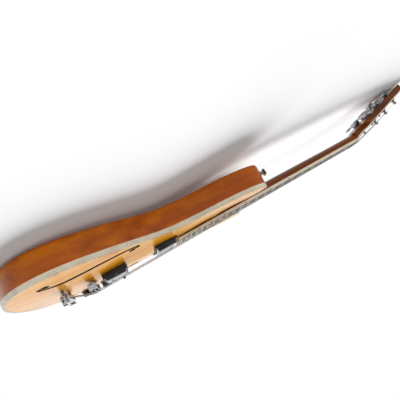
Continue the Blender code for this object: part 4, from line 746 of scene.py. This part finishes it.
@dataclass
class Body:
    """Shell, arched top, binding, purfling lines, and a black ring of painted shade round each sound-hole."""

    shape: BodyShape
    finishes: Finishes
    seam: float = 0.0383
    back_round: float = 0.006
    wall: float = 0.012
    floor: float = 0.006
    binding: float = 0.002
    binding_round: float = 0.0012
    purfling: float = 0.0007
    plate: float = 0.0045
    cell: float = 0.006
    # Width of the black ring of painted shade round each sound-hole.
    hole_shade_width: float = 0.0004
    pickup_room: float = 0.0016

    def ring(self, loop: np.ndarray, offsets: list, heights: list) -> tuple[np.ndarray, list]:
        """Closed profile carried round a closed loop.

        Each profile point lies at its own inset from the loop and its own height.

        Args:
            loop: rows of (x, y).
            offsets: inset of each profile point.
            heights: one height, or one for each loop point, for each profile point.

        Returns:
            Points and faces.
        """
        lines = [
            np.column_stack([inset(loop, offset), np.broadcast_to(height, len(loop))])
            for offset, height in zip(offsets, heights)
        ]
        points = np.stack(lines, axis=1)
        return points.reshape(-1, 3), grid_faces(len(loop), len(lines), True, True)

    def shell(self) -> None:
        """Back and sides as a bowl: rounded back edge, rim, and the wall's inner face."""
        turn = np.linspace(0.0, np.pi / 2, 9)
        offsets = list(self.back_round * (1 - np.sin(turn))) + [0.0, self.wall, self.wall]
        heights = list(self.back_round * (1 - np.cos(turn))) + [self.seam, self.seam, self.floor]
        count, size = len(self.shape.outline), len(offsets)
        lines = [
            np.column_stack([inset(self.shape.outline, o), np.full(count, h)])
            for o, h in zip(offsets, heights)
        ]
        points = np.stack(lines, axis=1).reshape(-1, 3)
        faces = grid_faces(count, size, False, True)
        faces.append([i * size for i in range(count)])
        faces.append([i * size + size - 1 for i in range(count)])
        piece("body_shell", points, faces, self.finishes.mahogany, Slot.MAHOGANY, replaces=("body_back",))

    def top(self, openings: list[np.ndarray]) -> None:
        """Arched top: the outline filled between its openings, cut into cells and raised.

        The underside repeats the face one plate thickness lower, and each free edge of the face
        gets a wall down to it.

        Args:
            openings: closed loops that stay open.
        """
        plate = filled([inset(self.shape.outline, self.binding), *openings], self.cell)
        count = len(plate.vertices)
        face = np.empty(count * 3)
        plate.vertices.foreach_get("co", face)
        face = face.reshape(-1, 3)
        face[:, 2] = self.shape.height(face)
        upper = [list(polygon.vertices) for polygon in plate.polygons]
        bpy.data.meshes.remove(plate)
        lower = [[number + count for number in reversed(polygon)] for polygon in upper]
        runs = {(a, b) for polygon in upper for a, b in zip(polygon, polygon[1:] + polygon[:1])}
        walls = [[b, a, a + count, b + count] for a, b in sorted(runs) if (b, a) not in runs]
        points = np.concatenate([face, face - (0.0, 0.0, self.plate)])
        piece(
            "arched_top",
            points,
            upper + lower + walls,
            self.finishes.maple,
            Slot.MAPLE,
            replaces=("body_top",),
            sharp=50.0,
        )

    def bindings(self) -> None:
        """Binding of the top with its rounded edge, and the purfling lines inside it."""
        rim = self.shape.rim_depth
        turn = np.linspace(np.pi / 2, 0.0, 6)
        offsets = [0.0] + list(self.binding_round * (1 - np.sin(turn)))
        heights = [self.seam] + list(rim - self.binding_round * (1 - np.cos(turn)))
        offsets += [self.binding, self.binding]
        heights += [rim + HAIR / 2, self.seam]
        points, faces = self.ring(self.shape.outline, offsets, heights)
        piece("top_edge_binding", points, faces, self.finishes.cream, Slot.CREAM, replaces=("top_binding",))
        start = self.binding
        for name, finish, slot in (
            ("purfling_black", self.finishes.black, Slot.BLACK),
            ("purfling_cream", self.finishes.cream, Slot.CREAM),
            ("purfling_inner_black", self.finishes.black, Slot.BLACK),
        ):
            end = start + self.purfling
            offsets, heights = [], []
            for offset, lift in ((start, -HAIR * 4), (start, HAIR), (end, HAIR), (end, -HAIR * 4)):
                offsets.append(offset)
                heights.append(self.shape.height(inset(self.shape.outline, offset)) + lift)
            points, faces = self.ring(self.shape.outline, offsets, heights)
            piece(name, points, faces, finish, slot)
            start = end

    def hole_edges(self, name: str, loop: np.ndarray) -> None:
        """Thin black ring round one sound-hole, as deep as the top is thick: painted shade that stands for the dark
        inside of the hole.

        Args:
            name: the side's name.
            loop: the hole's outline.
        """
        offsets, heights = [], []
        for offset, lift in (
            (0.0, -self.plate),
            (0.0, HAIR * 2),
            (-self.hole_shade_width, HAIR * 2),
            (-self.hole_shade_width, -self.plate),
        ):
            offsets.append(offset)
            heights.append(self.shape.height(inset(loop, offset)) + lift)
        points, faces = self.ring(loop, offsets, heights)
        piece(f"sound_hole_painted_shade_{name}", points, faces, self.finishes.black, Slot.BLACK)

    def build(self) -> None:
        """Make every piece of the body."""
        holes = {"bass": SoundHole(1).loop(), "treble": SoundHole(-1).loop()}
        # Each sound-hole's opening is widened by its ring of painted shade.
        openings = [inset(loop, -self.hole_shade_width) for loop in holes.values()]
        for node in ("bridge_pickup", "neck_pickup"):
            low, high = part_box(node)
            corners = ((low.x, low.y), (high.x, low.y), (high.x, high.y), (low.x, high.y))
            middle = np.array([(low.x + high.x) / 2, 0.0])
            openings.append(
                np.array(corners) + self.pickup_room * np.sign(np.array(corners) - middle)
            )
        for node, radius in (
            ("tone_knob", 0.0052),
            ("neck_volume_knob", 0.0052),
            ("bridge_volume_knob", 0.0052),
            ("toggle_lever", 0.0062),
            ("bridge_wheel_bass", 0.0036),
            ("bridge_wheel_treble", 0.0036),
        ):
            low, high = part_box(node)
            centre = np.array([(low.x + high.x) / 2, (low.y + high.y) / 2])
            a = np.linspace(0.0, 2 * np.pi, 24, endpoint=False)
            openings.append(centre + radius * np.stack([np.cos(a), np.sin(a)], axis=1))
        self.shell()
        self.top(openings)
        self.bindings()
        for name, loop in holes.items():
            self.hole_edges(name, loop)


def filled(loops: list[np.ndarray], cell: float) -> bpy.types.Mesh:
    """Flat plate between loops, cut along a square lattice so that it can be shaped.

    Args:
        loops: the outline and the holes in it.
        cell: the lattice's pitch.

    Returns:
        The plate's mesh.
    """
    curve = bpy.data.curves.new("plate", "CURVE")
    curve.dimensions = "2D"
    curve.fill_mode = "BOTH"
    for loop in loops:
        spline = curve.splines.new("POLY")
        spline.points.add(len(loop) - 1)
        rows = np.column_stack([loop, np.zeros(len(loop)), np.ones(len(loop))])
        spline.points.foreach_set("co", rows.ravel())
        spline.use_cyclic_u = True
    drawn = bpy.data.objects.new("plate", curve)
    bpy.context.scene.collection.objects.link(drawn)
    evaluated = drawn.evaluated_get(bpy.context.evaluated_depsgraph_get())
    mesh = bpy.data.meshes.new_from_object(evaluated)
    bpy.data.objects.remove(drawn)
    bpy.data.curves.remove(curve)
    plate = bmesh.new()
    plate.from_mesh(mesh)
    bmesh.ops.remove_doubles(plate, verts=plate.verts, dist=1e-7)
    low, high = loops[0].min(axis=0), loops[0].max(axis=0)
    for axis, normal in enumerate(((1, 0, 0), (0, 1, 0))):
        for spot in np.arange(low[axis] + cell, high[axis], cell):
            on_plane = (spot, 0, 0) if axis == 0 else (0, spot, 0)
            everything = plate.verts[:] + plate.edges[:] + plate.faces[:]
            bmesh.ops.bisect_plane(plate, geom=everything, dist=1e-8, plane_co=on_plane, plane_no=normal)
    bmesh.ops.remove_doubles(plate, verts=plate.verts, dist=SLIVER)
    bmesh.ops.dissolve_degenerate(plate, edges=plate.edges, dist=SLIVER / 10)
    bmesh.ops.recalc_face_normals(plate, faces=plate.faces)
    if sum(face.normal.z for face in plate.faces) < 0:
        bmesh.ops.reverse_faces(plate, faces=plate.faces)
    plate.to_mesh(mesh)
    plate.free()
    return mesh


# Neck


@dataclass
class NeckFrame:
    """Planes of the fretboard's underside and of the headstock's face."""

    scale_length: float = 0.62865
    angle: float = 0.0703585
    joint_x: float = 0.24948
    glue_at_joint: float = 0.04706
    nut_thickness: float = 0.005
    head_angle: float = math.radians(16.0)

    def board(self) -> Matrix:
        """Place of the fretboard's plane, its origin under the nut."""
        nut_x = self.scale_length * math.cos(self.angle)
        height = self.glue_at_joint - (nut_x - self.joint_x) * math.tan(self.angle)
        return Matrix.Translation((nut_x, 0.0, height)) @ Matrix.Rotation(self.angle, 4, "Y")

    def head(self) -> Matrix:
        """Place of the headstock's plane."""
        step = Matrix.Translation((self.nut_thickness, 0.0, 0.0))
        return self.board() @ step @ Matrix.Rotation(self.head_angle, 4, "Y")

    def fret(self, number: float) -> float:
        """Distance of a fret from the nut, L (1 - 2^(-n/12))."""
        return self.scale_length * (1 - 2 ** (-number / 12))


@dataclass
class FretWork:
    """Fret wires, position dots and side dots on the fretboard."""

    neck: NeckFrame
    finishes: Finishes
    frets: int = 22
    thickness: float = 0.0066
    radius: float = 0.305
    nut_half: float = 0.0215
    end_half: float = 0.0282
    board_length: float = 0.45704
    wire_half: float = 0.00135
    wire_height: float = 0.00112
    dot_radius: float = 0.0031
    side_dot_radius: float = 0.0010
    marked: tuple[int, ...] = (3, 5, 7, 9, 12, 15, 17, 19, 21)

    def half_width(self, distance: float) -> float:
        """Half of the board's width at a distance from the nut."""
        return self.nut_half + (self.end_half - self.nut_half) * distance / self.board_length

    def surface(self, y: np.ndarray) -> np.ndarray:
        """Height of the board's face, its thickness less y squared over twice its radius."""
        return self.thickness - y**2 / (2 * self.radius)

    def wires(self) -> None:
        """Fret wires: a half ellipse carried across the board on its curve."""
        parts = []
        across, around = 17, 11
        turn = np.linspace(0.0, np.pi, around)
        for number in range(1, self.frets + 1):
            distance = self.neck.fret(number)
            half = self.half_width(distance) - HAIR * 3
            y = np.linspace(-half, half, across)[:, None]
            end_round = np.sqrt(np.clip(1 - (np.abs(y) / half) ** 40, 0.05, 1.0))
            x = -distance + self.wire_half * np.cos(turn)[None, :] * np.ones_like(y)
            z = self.surface(y) + self.wire_height * np.sin(turn)[None, :] * end_round
            points = np.stack([x, np.broadcast_to(y, x.shape), z], axis=-1).reshape(-1, 3)
            faces = grid_faces(across, around, True, False)
            faces.append(list(range(around)))
            faces.append(list(range((across - 1) * around, across * around)))
            parts.append((placed(points, self.neck.board()), faces))
        points, faces = joined(parts)
        piece("fret_wires", points, faces, self.finishes.nickel, Slot.STEEL)

    def dots(self) -> None:
        """Position dots on the face and side dots on the bass edge."""
        face_parts, side_parts = [], []
        profile = np.array([(0.0, 1.0), (0.9, 1.0), (1.0, 0.4), (1.0, -3.0), (0.0, -3.0)])
        for number in self.marked:
            middle = (self.neck.fret(number) + self.neck.fret(number - 1)) / 2
            spots = (-0.011, 0.011) if number == 12 else (0.0,)
            for y in spots:
                height = float(self.surface(np.array(y)))
                place = self.neck.board() @ Matrix.Translation((-middle, y, height))
                face_parts.append(turned(profile * (self.dot_radius, HAIR / 2), place))
            side = self.neck.board() @ Matrix.Translation(
                (-middle, self.half_width(middle), self.thickness * 0.55)
            )
            side = side @ Matrix.Rotation(-math.pi / 2, 4, "X")
            side_parts.append(turned(profile * (self.side_dot_radius, HAIR / 3), side, 16))
        piece("position_dots", *joined(face_parts), self.finishes.pearl, Slot.BONE)
        piece("side_dots", *joined(side_parts), self.finishes.black, Slot.BLACK)

    def build(self) -> None:
        """Make the frets and dots."""
        self.wires()
        self.dots()


@dataclass
class Hardware:
    """Screws of the pickups, rings, bridge and truss rod cover, and details of the knobs."""

    neck: NeckFrame
    finishes: Finishes
    pole_radius: float = 0.0024
    pole_height: float = 0.0006
    pole_spread: float = 0.0102
    coil_offset: float = 0.009
    ring_screw: float = 0.0017
    ring_inset: float = 0.0045
    height_screw: float = 0.0015
    saddle_screw: float = 0.0014

    def pickup(self, node: str, ring: str, coil_side: int) -> None:
        """Pole screws on a cover, and the screws of its ring.

        Args:
            node: the pickup's node, which is its body too.
            ring: the ring's node.
            coil_side: 1 or -1, the side of the screw coil along X.
        """
        low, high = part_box(node)
        joint = next(j for j in frame["joints"] if j["child"] == node)
        up = Vector(joint["axis"]).normalized()
        tilt = math.atan2(up.x, up.z)
        ring_low, ring_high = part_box(ring)
        centre = Vector(((low.x + high.x) / 2, 0.0, 0.0))
        half_length = (high.x - low.x) / 2
        top = high.z - half_length * math.sin(tilt) * 0.9
        plane = Matrix.Translation((centre.x + up.x * 0.008, 0.0, top)) @ Matrix.Rotation(tilt, 4, "Y")
        parts = []
        for number in range(6):
            y = (2.5 - number) * self.pole_spread
            place = plane @ Matrix.Translation((coil_side * self.coil_offset, y, 0.0))
            place = place @ Matrix.Rotation(0.4 * number, 4, "Z")
            parts.append(screw_head(place, self.pole_radius, self.pole_height))
        piece(f"{node}_poles", *joined(parts), self.finishes.nickel, Slot.CHROME, body=node)
        self.ring_screws(ring, ring_low, ring_high, tilt)

    def ring_screws(self, ring: str, low: Vector, high: Vector, tilt: float) -> None:
        """Corner screws and the two height screws of a pickup ring.

        Args:
            ring: the ring's node.
            low: its lowest corner.
            high: its highest corner.
            tilt: its tilt about Y.
        """
        middle = (low.x + high.x) / 2
        half = (high.x - low.x) / 2
        centre_z = high.z - half * math.tan(tilt)
        plane = Matrix.Translation((middle, 0.0, centre_z)) @ Matrix.Rotation(tilt, 4, "Y")
        parts = []
        for x in (-half + self.ring_inset / 1.6, half - self.ring_inset / 1.6):
            for y in (low.y + self.ring_inset, high.y - self.ring_inset):
                place = plane @ Matrix.Translation((x, y, 0.0)) @ Matrix.Rotation(x * 60, 4, "Z")
                parts.append(screw_head(place, self.ring_screw, self.pole_height))
        for y in (low.y + self.ring_inset, high.y - self.ring_inset):
            place = plane @ Matrix.Translation((0.0, y, 0.0)) @ Matrix.Rotation(y * 40, 4, "Z")
            parts.append(screw_head(place, self.height_screw, self.pole_height * 1.5))
        piece(f"{ring}_screws", *joined(parts), self.finishes.chrome, Slot.CHROME)

    def bridge(self) -> None:
        """Intonation screws on the tail side of the bridge."""
        low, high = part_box("bridge_beam")
        parts = []
        for number in range(1, 7):
            saddle_low, saddle_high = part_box(f"saddle_{number}")
            y = (saddle_low.y + saddle_high.y) / 2
            place = Matrix.Translation((low.x, y, (low.z + high.z) / 2 + 0.0008))
            place = place @ Matrix.Rotation(-math.pi / 2, 4, "Y") @ Matrix.Rotation(number, 4, "Z")
            parts.append(screw_head(place, self.saddle_screw, self.pole_height))
        piece("intonation_screws", *joined(parts), self.finishes.nickel, Slot.CHROME, body="bridge")

    def cover(self) -> None:
        """Screws of the truss rod cover."""
        parts = []
        for x, y in ((0.0045, 0.0085), (0.0045, -0.0085), (0.040, 0.0)):
            place = self.neck.head() @ Matrix.Translation((x, y, 0.0024))
            parts.append(screw_head(place, self.ring_screw, self.pole_height))
        piece("cover_screws", *joined(parts), self.finishes.chrome, Slot.CHROME)

    def knob_caps(self) -> None:
        """Metal insert on the crown of each knob."""
        for node in ("tone_knob", "neck_volume_knob", "bridge_volume_knob"):
            low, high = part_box(node)
            centre = Matrix.Translation(((low.x + high.x) / 2, (low.y + high.y) / 2, high.z))
            reach = 0.0068
            profile = np.array(
                [(0.0, 0.0), (reach, 0.0), (reach * 1.04, -0.0001), (reach * 1.04, -0.001), (0.0, -0.001)]
            )
            profile[:, 1] -= HAIR / 4
            points, faces = turned(profile, centre, 48)
            piece(f"{node}_cap", points, faces, self.finishes.chrome, Slot.CHROME, body=node)

    def build(self) -> None:
        """Make all the small hardware."""
        self.pickup("bridge_pickup", "bridge_pickup_ring", -1)
        self.pickup("neck_pickup", "neck_pickup_ring", 1)
        self.bridge()
        self.cover()
        self.knob_caps()


# Carried-over solids


@dataclass
class SolidFinishes:
    """Materials and soft shading for the solids that stay in view."""

    finishes: Finishes
    sharp: float = 32.0

    def shading(self) -> bpy.types.NodeTree:
        """Node group that welds loose triangles and shades them smooth up to an angle."""
        group = bpy.data.node_groups.new("soft_shading", "GeometryNodeTree")
        group.interface.new_socket("Geometry", in_out="INPUT", socket_type="NodeSocketGeometry")
        group.interface.new_socket("Geometry", in_out="OUTPUT", socket_type="NodeSocketGeometry")
        enter, leave = group.nodes.new("NodeGroupInput"), group.nodes.new("NodeGroupOutput")
        weld = group.nodes.new("GeometryNodeMergeByDistance")
        weld.inputs["Distance"].default_value = 1e-6
        smooth = group.nodes.new("GeometryNodeSetShadeSmooth")
        smooth.domain = "FACE"
        crisp = group.nodes.new("GeometryNodeSetShadeSmooth")
        crisp.domain = "EDGE"
        crisp.inputs["Shade Smooth"].default_value = False
        angle = group.nodes.new("GeometryNodeInputMeshEdgeAngle")
        wide = group.nodes.new("FunctionNodeCompare")
        wide.data_type = "FLOAT"
        wide.operation = "GREATER_THAN"
        wide.inputs["B"].default_value = math.radians(self.sharp)
        link = group.links.new
        link(enter.outputs[0], weld.inputs["Geometry"])
        link(weld.outputs["Geometry"], smooth.inputs["Geometry"])
        link(smooth.outputs["Geometry"], crisp.inputs["Geometry"])
        link(angle.outputs["Unsigned Angle"], wide.inputs["A"])
        link(wide.outputs["Result"], crisp.inputs["Selection"])
        link(crisp.outputs["Geometry"], leave.inputs[0])
        return group

    def choose(self, node: str) -> bpy.types.Material:
        """Finish of one solid.

        Args:
            node: the solid's name.

        Returns:
            Its material.
        """
        f = self.finishes
        named = {
            "neck": f.neck,
            "fretboard": f.rosewood,
            "fretboard_binding": f.cream,
            "headstock_binding": f.cream,
            "headstock_face": f.black,
            "truss_rod_cover": f.rubber_black,
            "nut": f.bone,
            "truss_rod": f.steel,
            "bridge_pickup_ring": f.rubber_black,
            "neck_pickup_ring": f.rubber_black,
            "toggle_lever": f.black,
            "toggle_switch": f.chrome,
            "body_back": f.mahogany,
            "body_top": f.maple,
            "top_binding": f.cream,
        }
        if node in named:
            return named[node]
        if node.endswith("_knob"):
            return f.black
        if node.startswith("string_"):
            return f.wound if int(node[-1]) <= 3 else f.steel
        return f.chrome

    def build(self) -> None:
        """Dress every solid."""
        group = self.shading()
        for name, solid in frame["nodes"].items():
            solid.data.materials.clear()
            solid.data.materials.append(self.choose(name))
            shading = solid.modifiers.new("soft_shading", "NODES")
            shading.node_group = group
        LOG.info("dressed %d solids", len(frame["nodes"]))


# Setting


@dataclass
class Studio:
    """White floor, soft lamps and the camera of the photograph."""

    rest_x: float = -0.132
    slope: float = math.tan(math.radians(3.36))
    sink: float = 0.0006
    focal_pixels: float = 400.0
    image_pixels: float = 400.0
    sensor_mm: float = 36.0
    eye: tuple[float, float, float] = (0.04411, 0.76398, 0.13939)
    turns: tuple[float, float, float] = (-17.844, -9.556, -26.931)
    centre: tuple[float, float] = (204.90, 185.29)
    suns: tuple = (
        ((0.0, -2.0, 1.0), 40.0, 5.0),
        ((0.25, 1.0, 0.2), 60.0, 1.75),
    )
    world_strength: float = 0.14
    floor_glow: float = 0.07
    flag_distance: float = 1.9
    flag_corners: tuple = ((-2.6, -0.25), (2.6, -0.25), (2.6, 3.0), (-2.6, 3.0))

    def floor(self) -> None:
        """Floor under the tail edge and the headstock, white to the camera and shaded by the guitar."""
        reach = 9.0
        corners = np.array([(-reach, -reach), (reach, -reach), (reach, reach), (-reach, reach)])
        heights = -(corners[:, 0] - self.rest_x) * self.slope - self.sink
        mesh = bpy.data.meshes.new("floor")
        mesh.from_pydata(np.column_stack([corners, heights]).tolist(), [], [[0, 1, 2, 3]])
        graph = Graph("pale_floor")
        shade = graph.ramp(
            graph.noise(graph.stretched((1.0, 1.0, 1.0)), 3.0, 2.0),
            ((0.3, (0.96, 0.96, 0.96)), (0.7, (0.98, 0.98, 0.98))),
        )
        graph.links.new(shade, graph.shader.inputs["Base Color"])
        graph.shader.inputs["Roughness"].default_value = 1.0
        graph.shader.inputs["Specular IOR Level"].default_value = 0.0
        glow = graph.nodes.new("ShaderNodeEmission")
        glow.inputs["Strength"].default_value = self.floor_glow
        total = graph.nodes.new("ShaderNodeAddShader")
        rays = graph.nodes.new("ShaderNodeLightPath")
        choice = graph.nodes.new("ShaderNodeMixShader")
        seen = graph.nodes.new("ShaderNodeMath")
        seen.operation = "MAXIMUM"
        link = graph.links.new
        link(graph.shader.outputs[0], total.inputs[0])
        link(glow.outputs[0], total.inputs[1])
        link(rays.outputs["Is Camera Ray"], seen.inputs[0])
        link(rays.outputs["Is Glossy Ray"], seen.inputs[1])
        link(seen.outputs[0], choice.inputs[0])
        link(graph.shader.outputs[0], choice.inputs[1])
        link(total.outputs[0], choice.inputs[2])
        link(choice.outputs[0], graph.nodes["Material Output"].inputs["Surface"])
        mesh.materials.append(graph.material)
        made = bpy.data.objects.new("floor", mesh)
        bpy.context.scene.collection.objects.link(made)

    def light(self) -> None:
        """Broad far lamps and an even world, white where the camera or a reflection sees it."""
        for number, (place, spread, strength) in enumerate(self.suns, start=1):
            lamp = bpy.data.lights.new(f"broad_lamp_{number}", "SUN")
            lamp.angle = math.radians(spread)
            lamp.energy = strength
            holder = bpy.data.objects.new(f"broad_lamp_{number}", lamp)
            holder.rotation_euler = (-Vector(place)).to_track_quat("-Z", "Y").to_euler()
            holder.visible_glossy = False
            bpy.context.scene.collection.objects.link(holder)
        world = bpy.data.worlds.new("studio")
        world.use_nodes = True
        nodes, link = world.node_tree.nodes, world.node_tree.links.new
        soft = nodes["Background"]
        soft.inputs["Color"].default_value = (1.0, 1.0, 1.0, 1.0)
        soft.inputs["Strength"].default_value = self.world_strength
        white = nodes.new("ShaderNodeBackground")
        white.inputs["Color"].default_value = (1.0, 1.0, 1.0, 1.0)
        white.inputs["Strength"].default_value = 1.0
        rays = nodes.new("ShaderNodeLightPath")
        seen = nodes.new("ShaderNodeMath")
        seen.operation = "MAXIMUM"
        choice = nodes.new("ShaderNodeMixShader")
        link(rays.outputs["Is Camera Ray"], seen.inputs[0])
        link(rays.outputs["Is Glossy Ray"], seen.inputs[1])
        link(seen.outputs[0], choice.inputs[0])
        link(soft.outputs[0], choice.inputs[1])
        link(white.outputs[0], choice.inputs[2])
        link(choice.outputs[0], nodes["World Output"].inputs["Surface"])
        bpy.context.scene.world = world

    def flag(self) -> None:
        """Dark studio card on the bass side, which only reflections see."""
        corners = np.array(self.flag_corners)
        points = np.column_stack([corners[:, 0], np.full(4, self.flag_distance), corners[:, 1]])
        mesh = bpy.data.meshes.new("studio_flag")
        mesh.from_pydata(points.tolist(), [], [[0, 1, 2, 3]])
        mesh.materials.append(PlasticFinish("dark_card", (0.01, 0.01, 0.01), (0.02, 0.02, 0.02)).material())
        made = bpy.data.objects.new("studio_flag", mesh)
        made.visible_camera = False
        made.visible_diffuse = False
        made.visible_shadow = False
        bpy.context.scene.collection.objects.link(made)

    def camera(self) -> None:
        """Camera at the photograph's angle, from its place, its turns and its image centre."""
        rx, ry, rz = (math.radians(turn) for turn in self.turns)
        facing = Matrix(((1, 0, 0), (0, 0, 1), (0, -1, 0)))
        axes = (
            Matrix.Rotation(rx, 3, "X") @ Matrix.Rotation(ry, 3, "Y") @ Matrix.Rotation(rz, 3, "Z") @ facing
        )
        right, down, forward = axes
        lens = bpy.data.cameras.new("camera")
        lens.sensor_width = self.sensor_mm
        lens.lens = self.sensor_mm * self.focal_pixels / self.image_pixels
        lens.shift_x = (self.image_pixels / 2 - self.centre[0]) / self.image_pixels
        lens.shift_y = (self.centre[1] - self.image_pixels / 2) / self.image_pixels
        lens.clip_start = 0.01
        lens.clip_end = 50.0
        holder = bpy.data.objects.new("camera", lens)
        turn = Matrix((right, -down, -forward)).transposed()
        holder.matrix_world = Matrix.Translation(self.eye) @ turn.to_4x4()
        bpy.context.scene.collection.objects.link(holder)
        bpy.context.scene.camera = holder

    def build(self) -> None:
        """Make the setting."""
        self.floor()
        self.flag()
        self.light()
        self.camera()
        bpy.context.scene.view_settings.view_transform = "Standard"


def main() -> None:
    """Build the guitar's visible pieces, dress its solids and set the studio."""
    finishes = Finishes()
    neck = NeckFrame()
    SolidFinishes(finishes).build()
    Body(BodyShape(), finishes).build()
    FretWork(neck, finishes).build()
    Hardware(neck, finishes).build()
    Studio().build()
    bpy.context.view_layer.update()


if __name__ == "__main__":
    main()
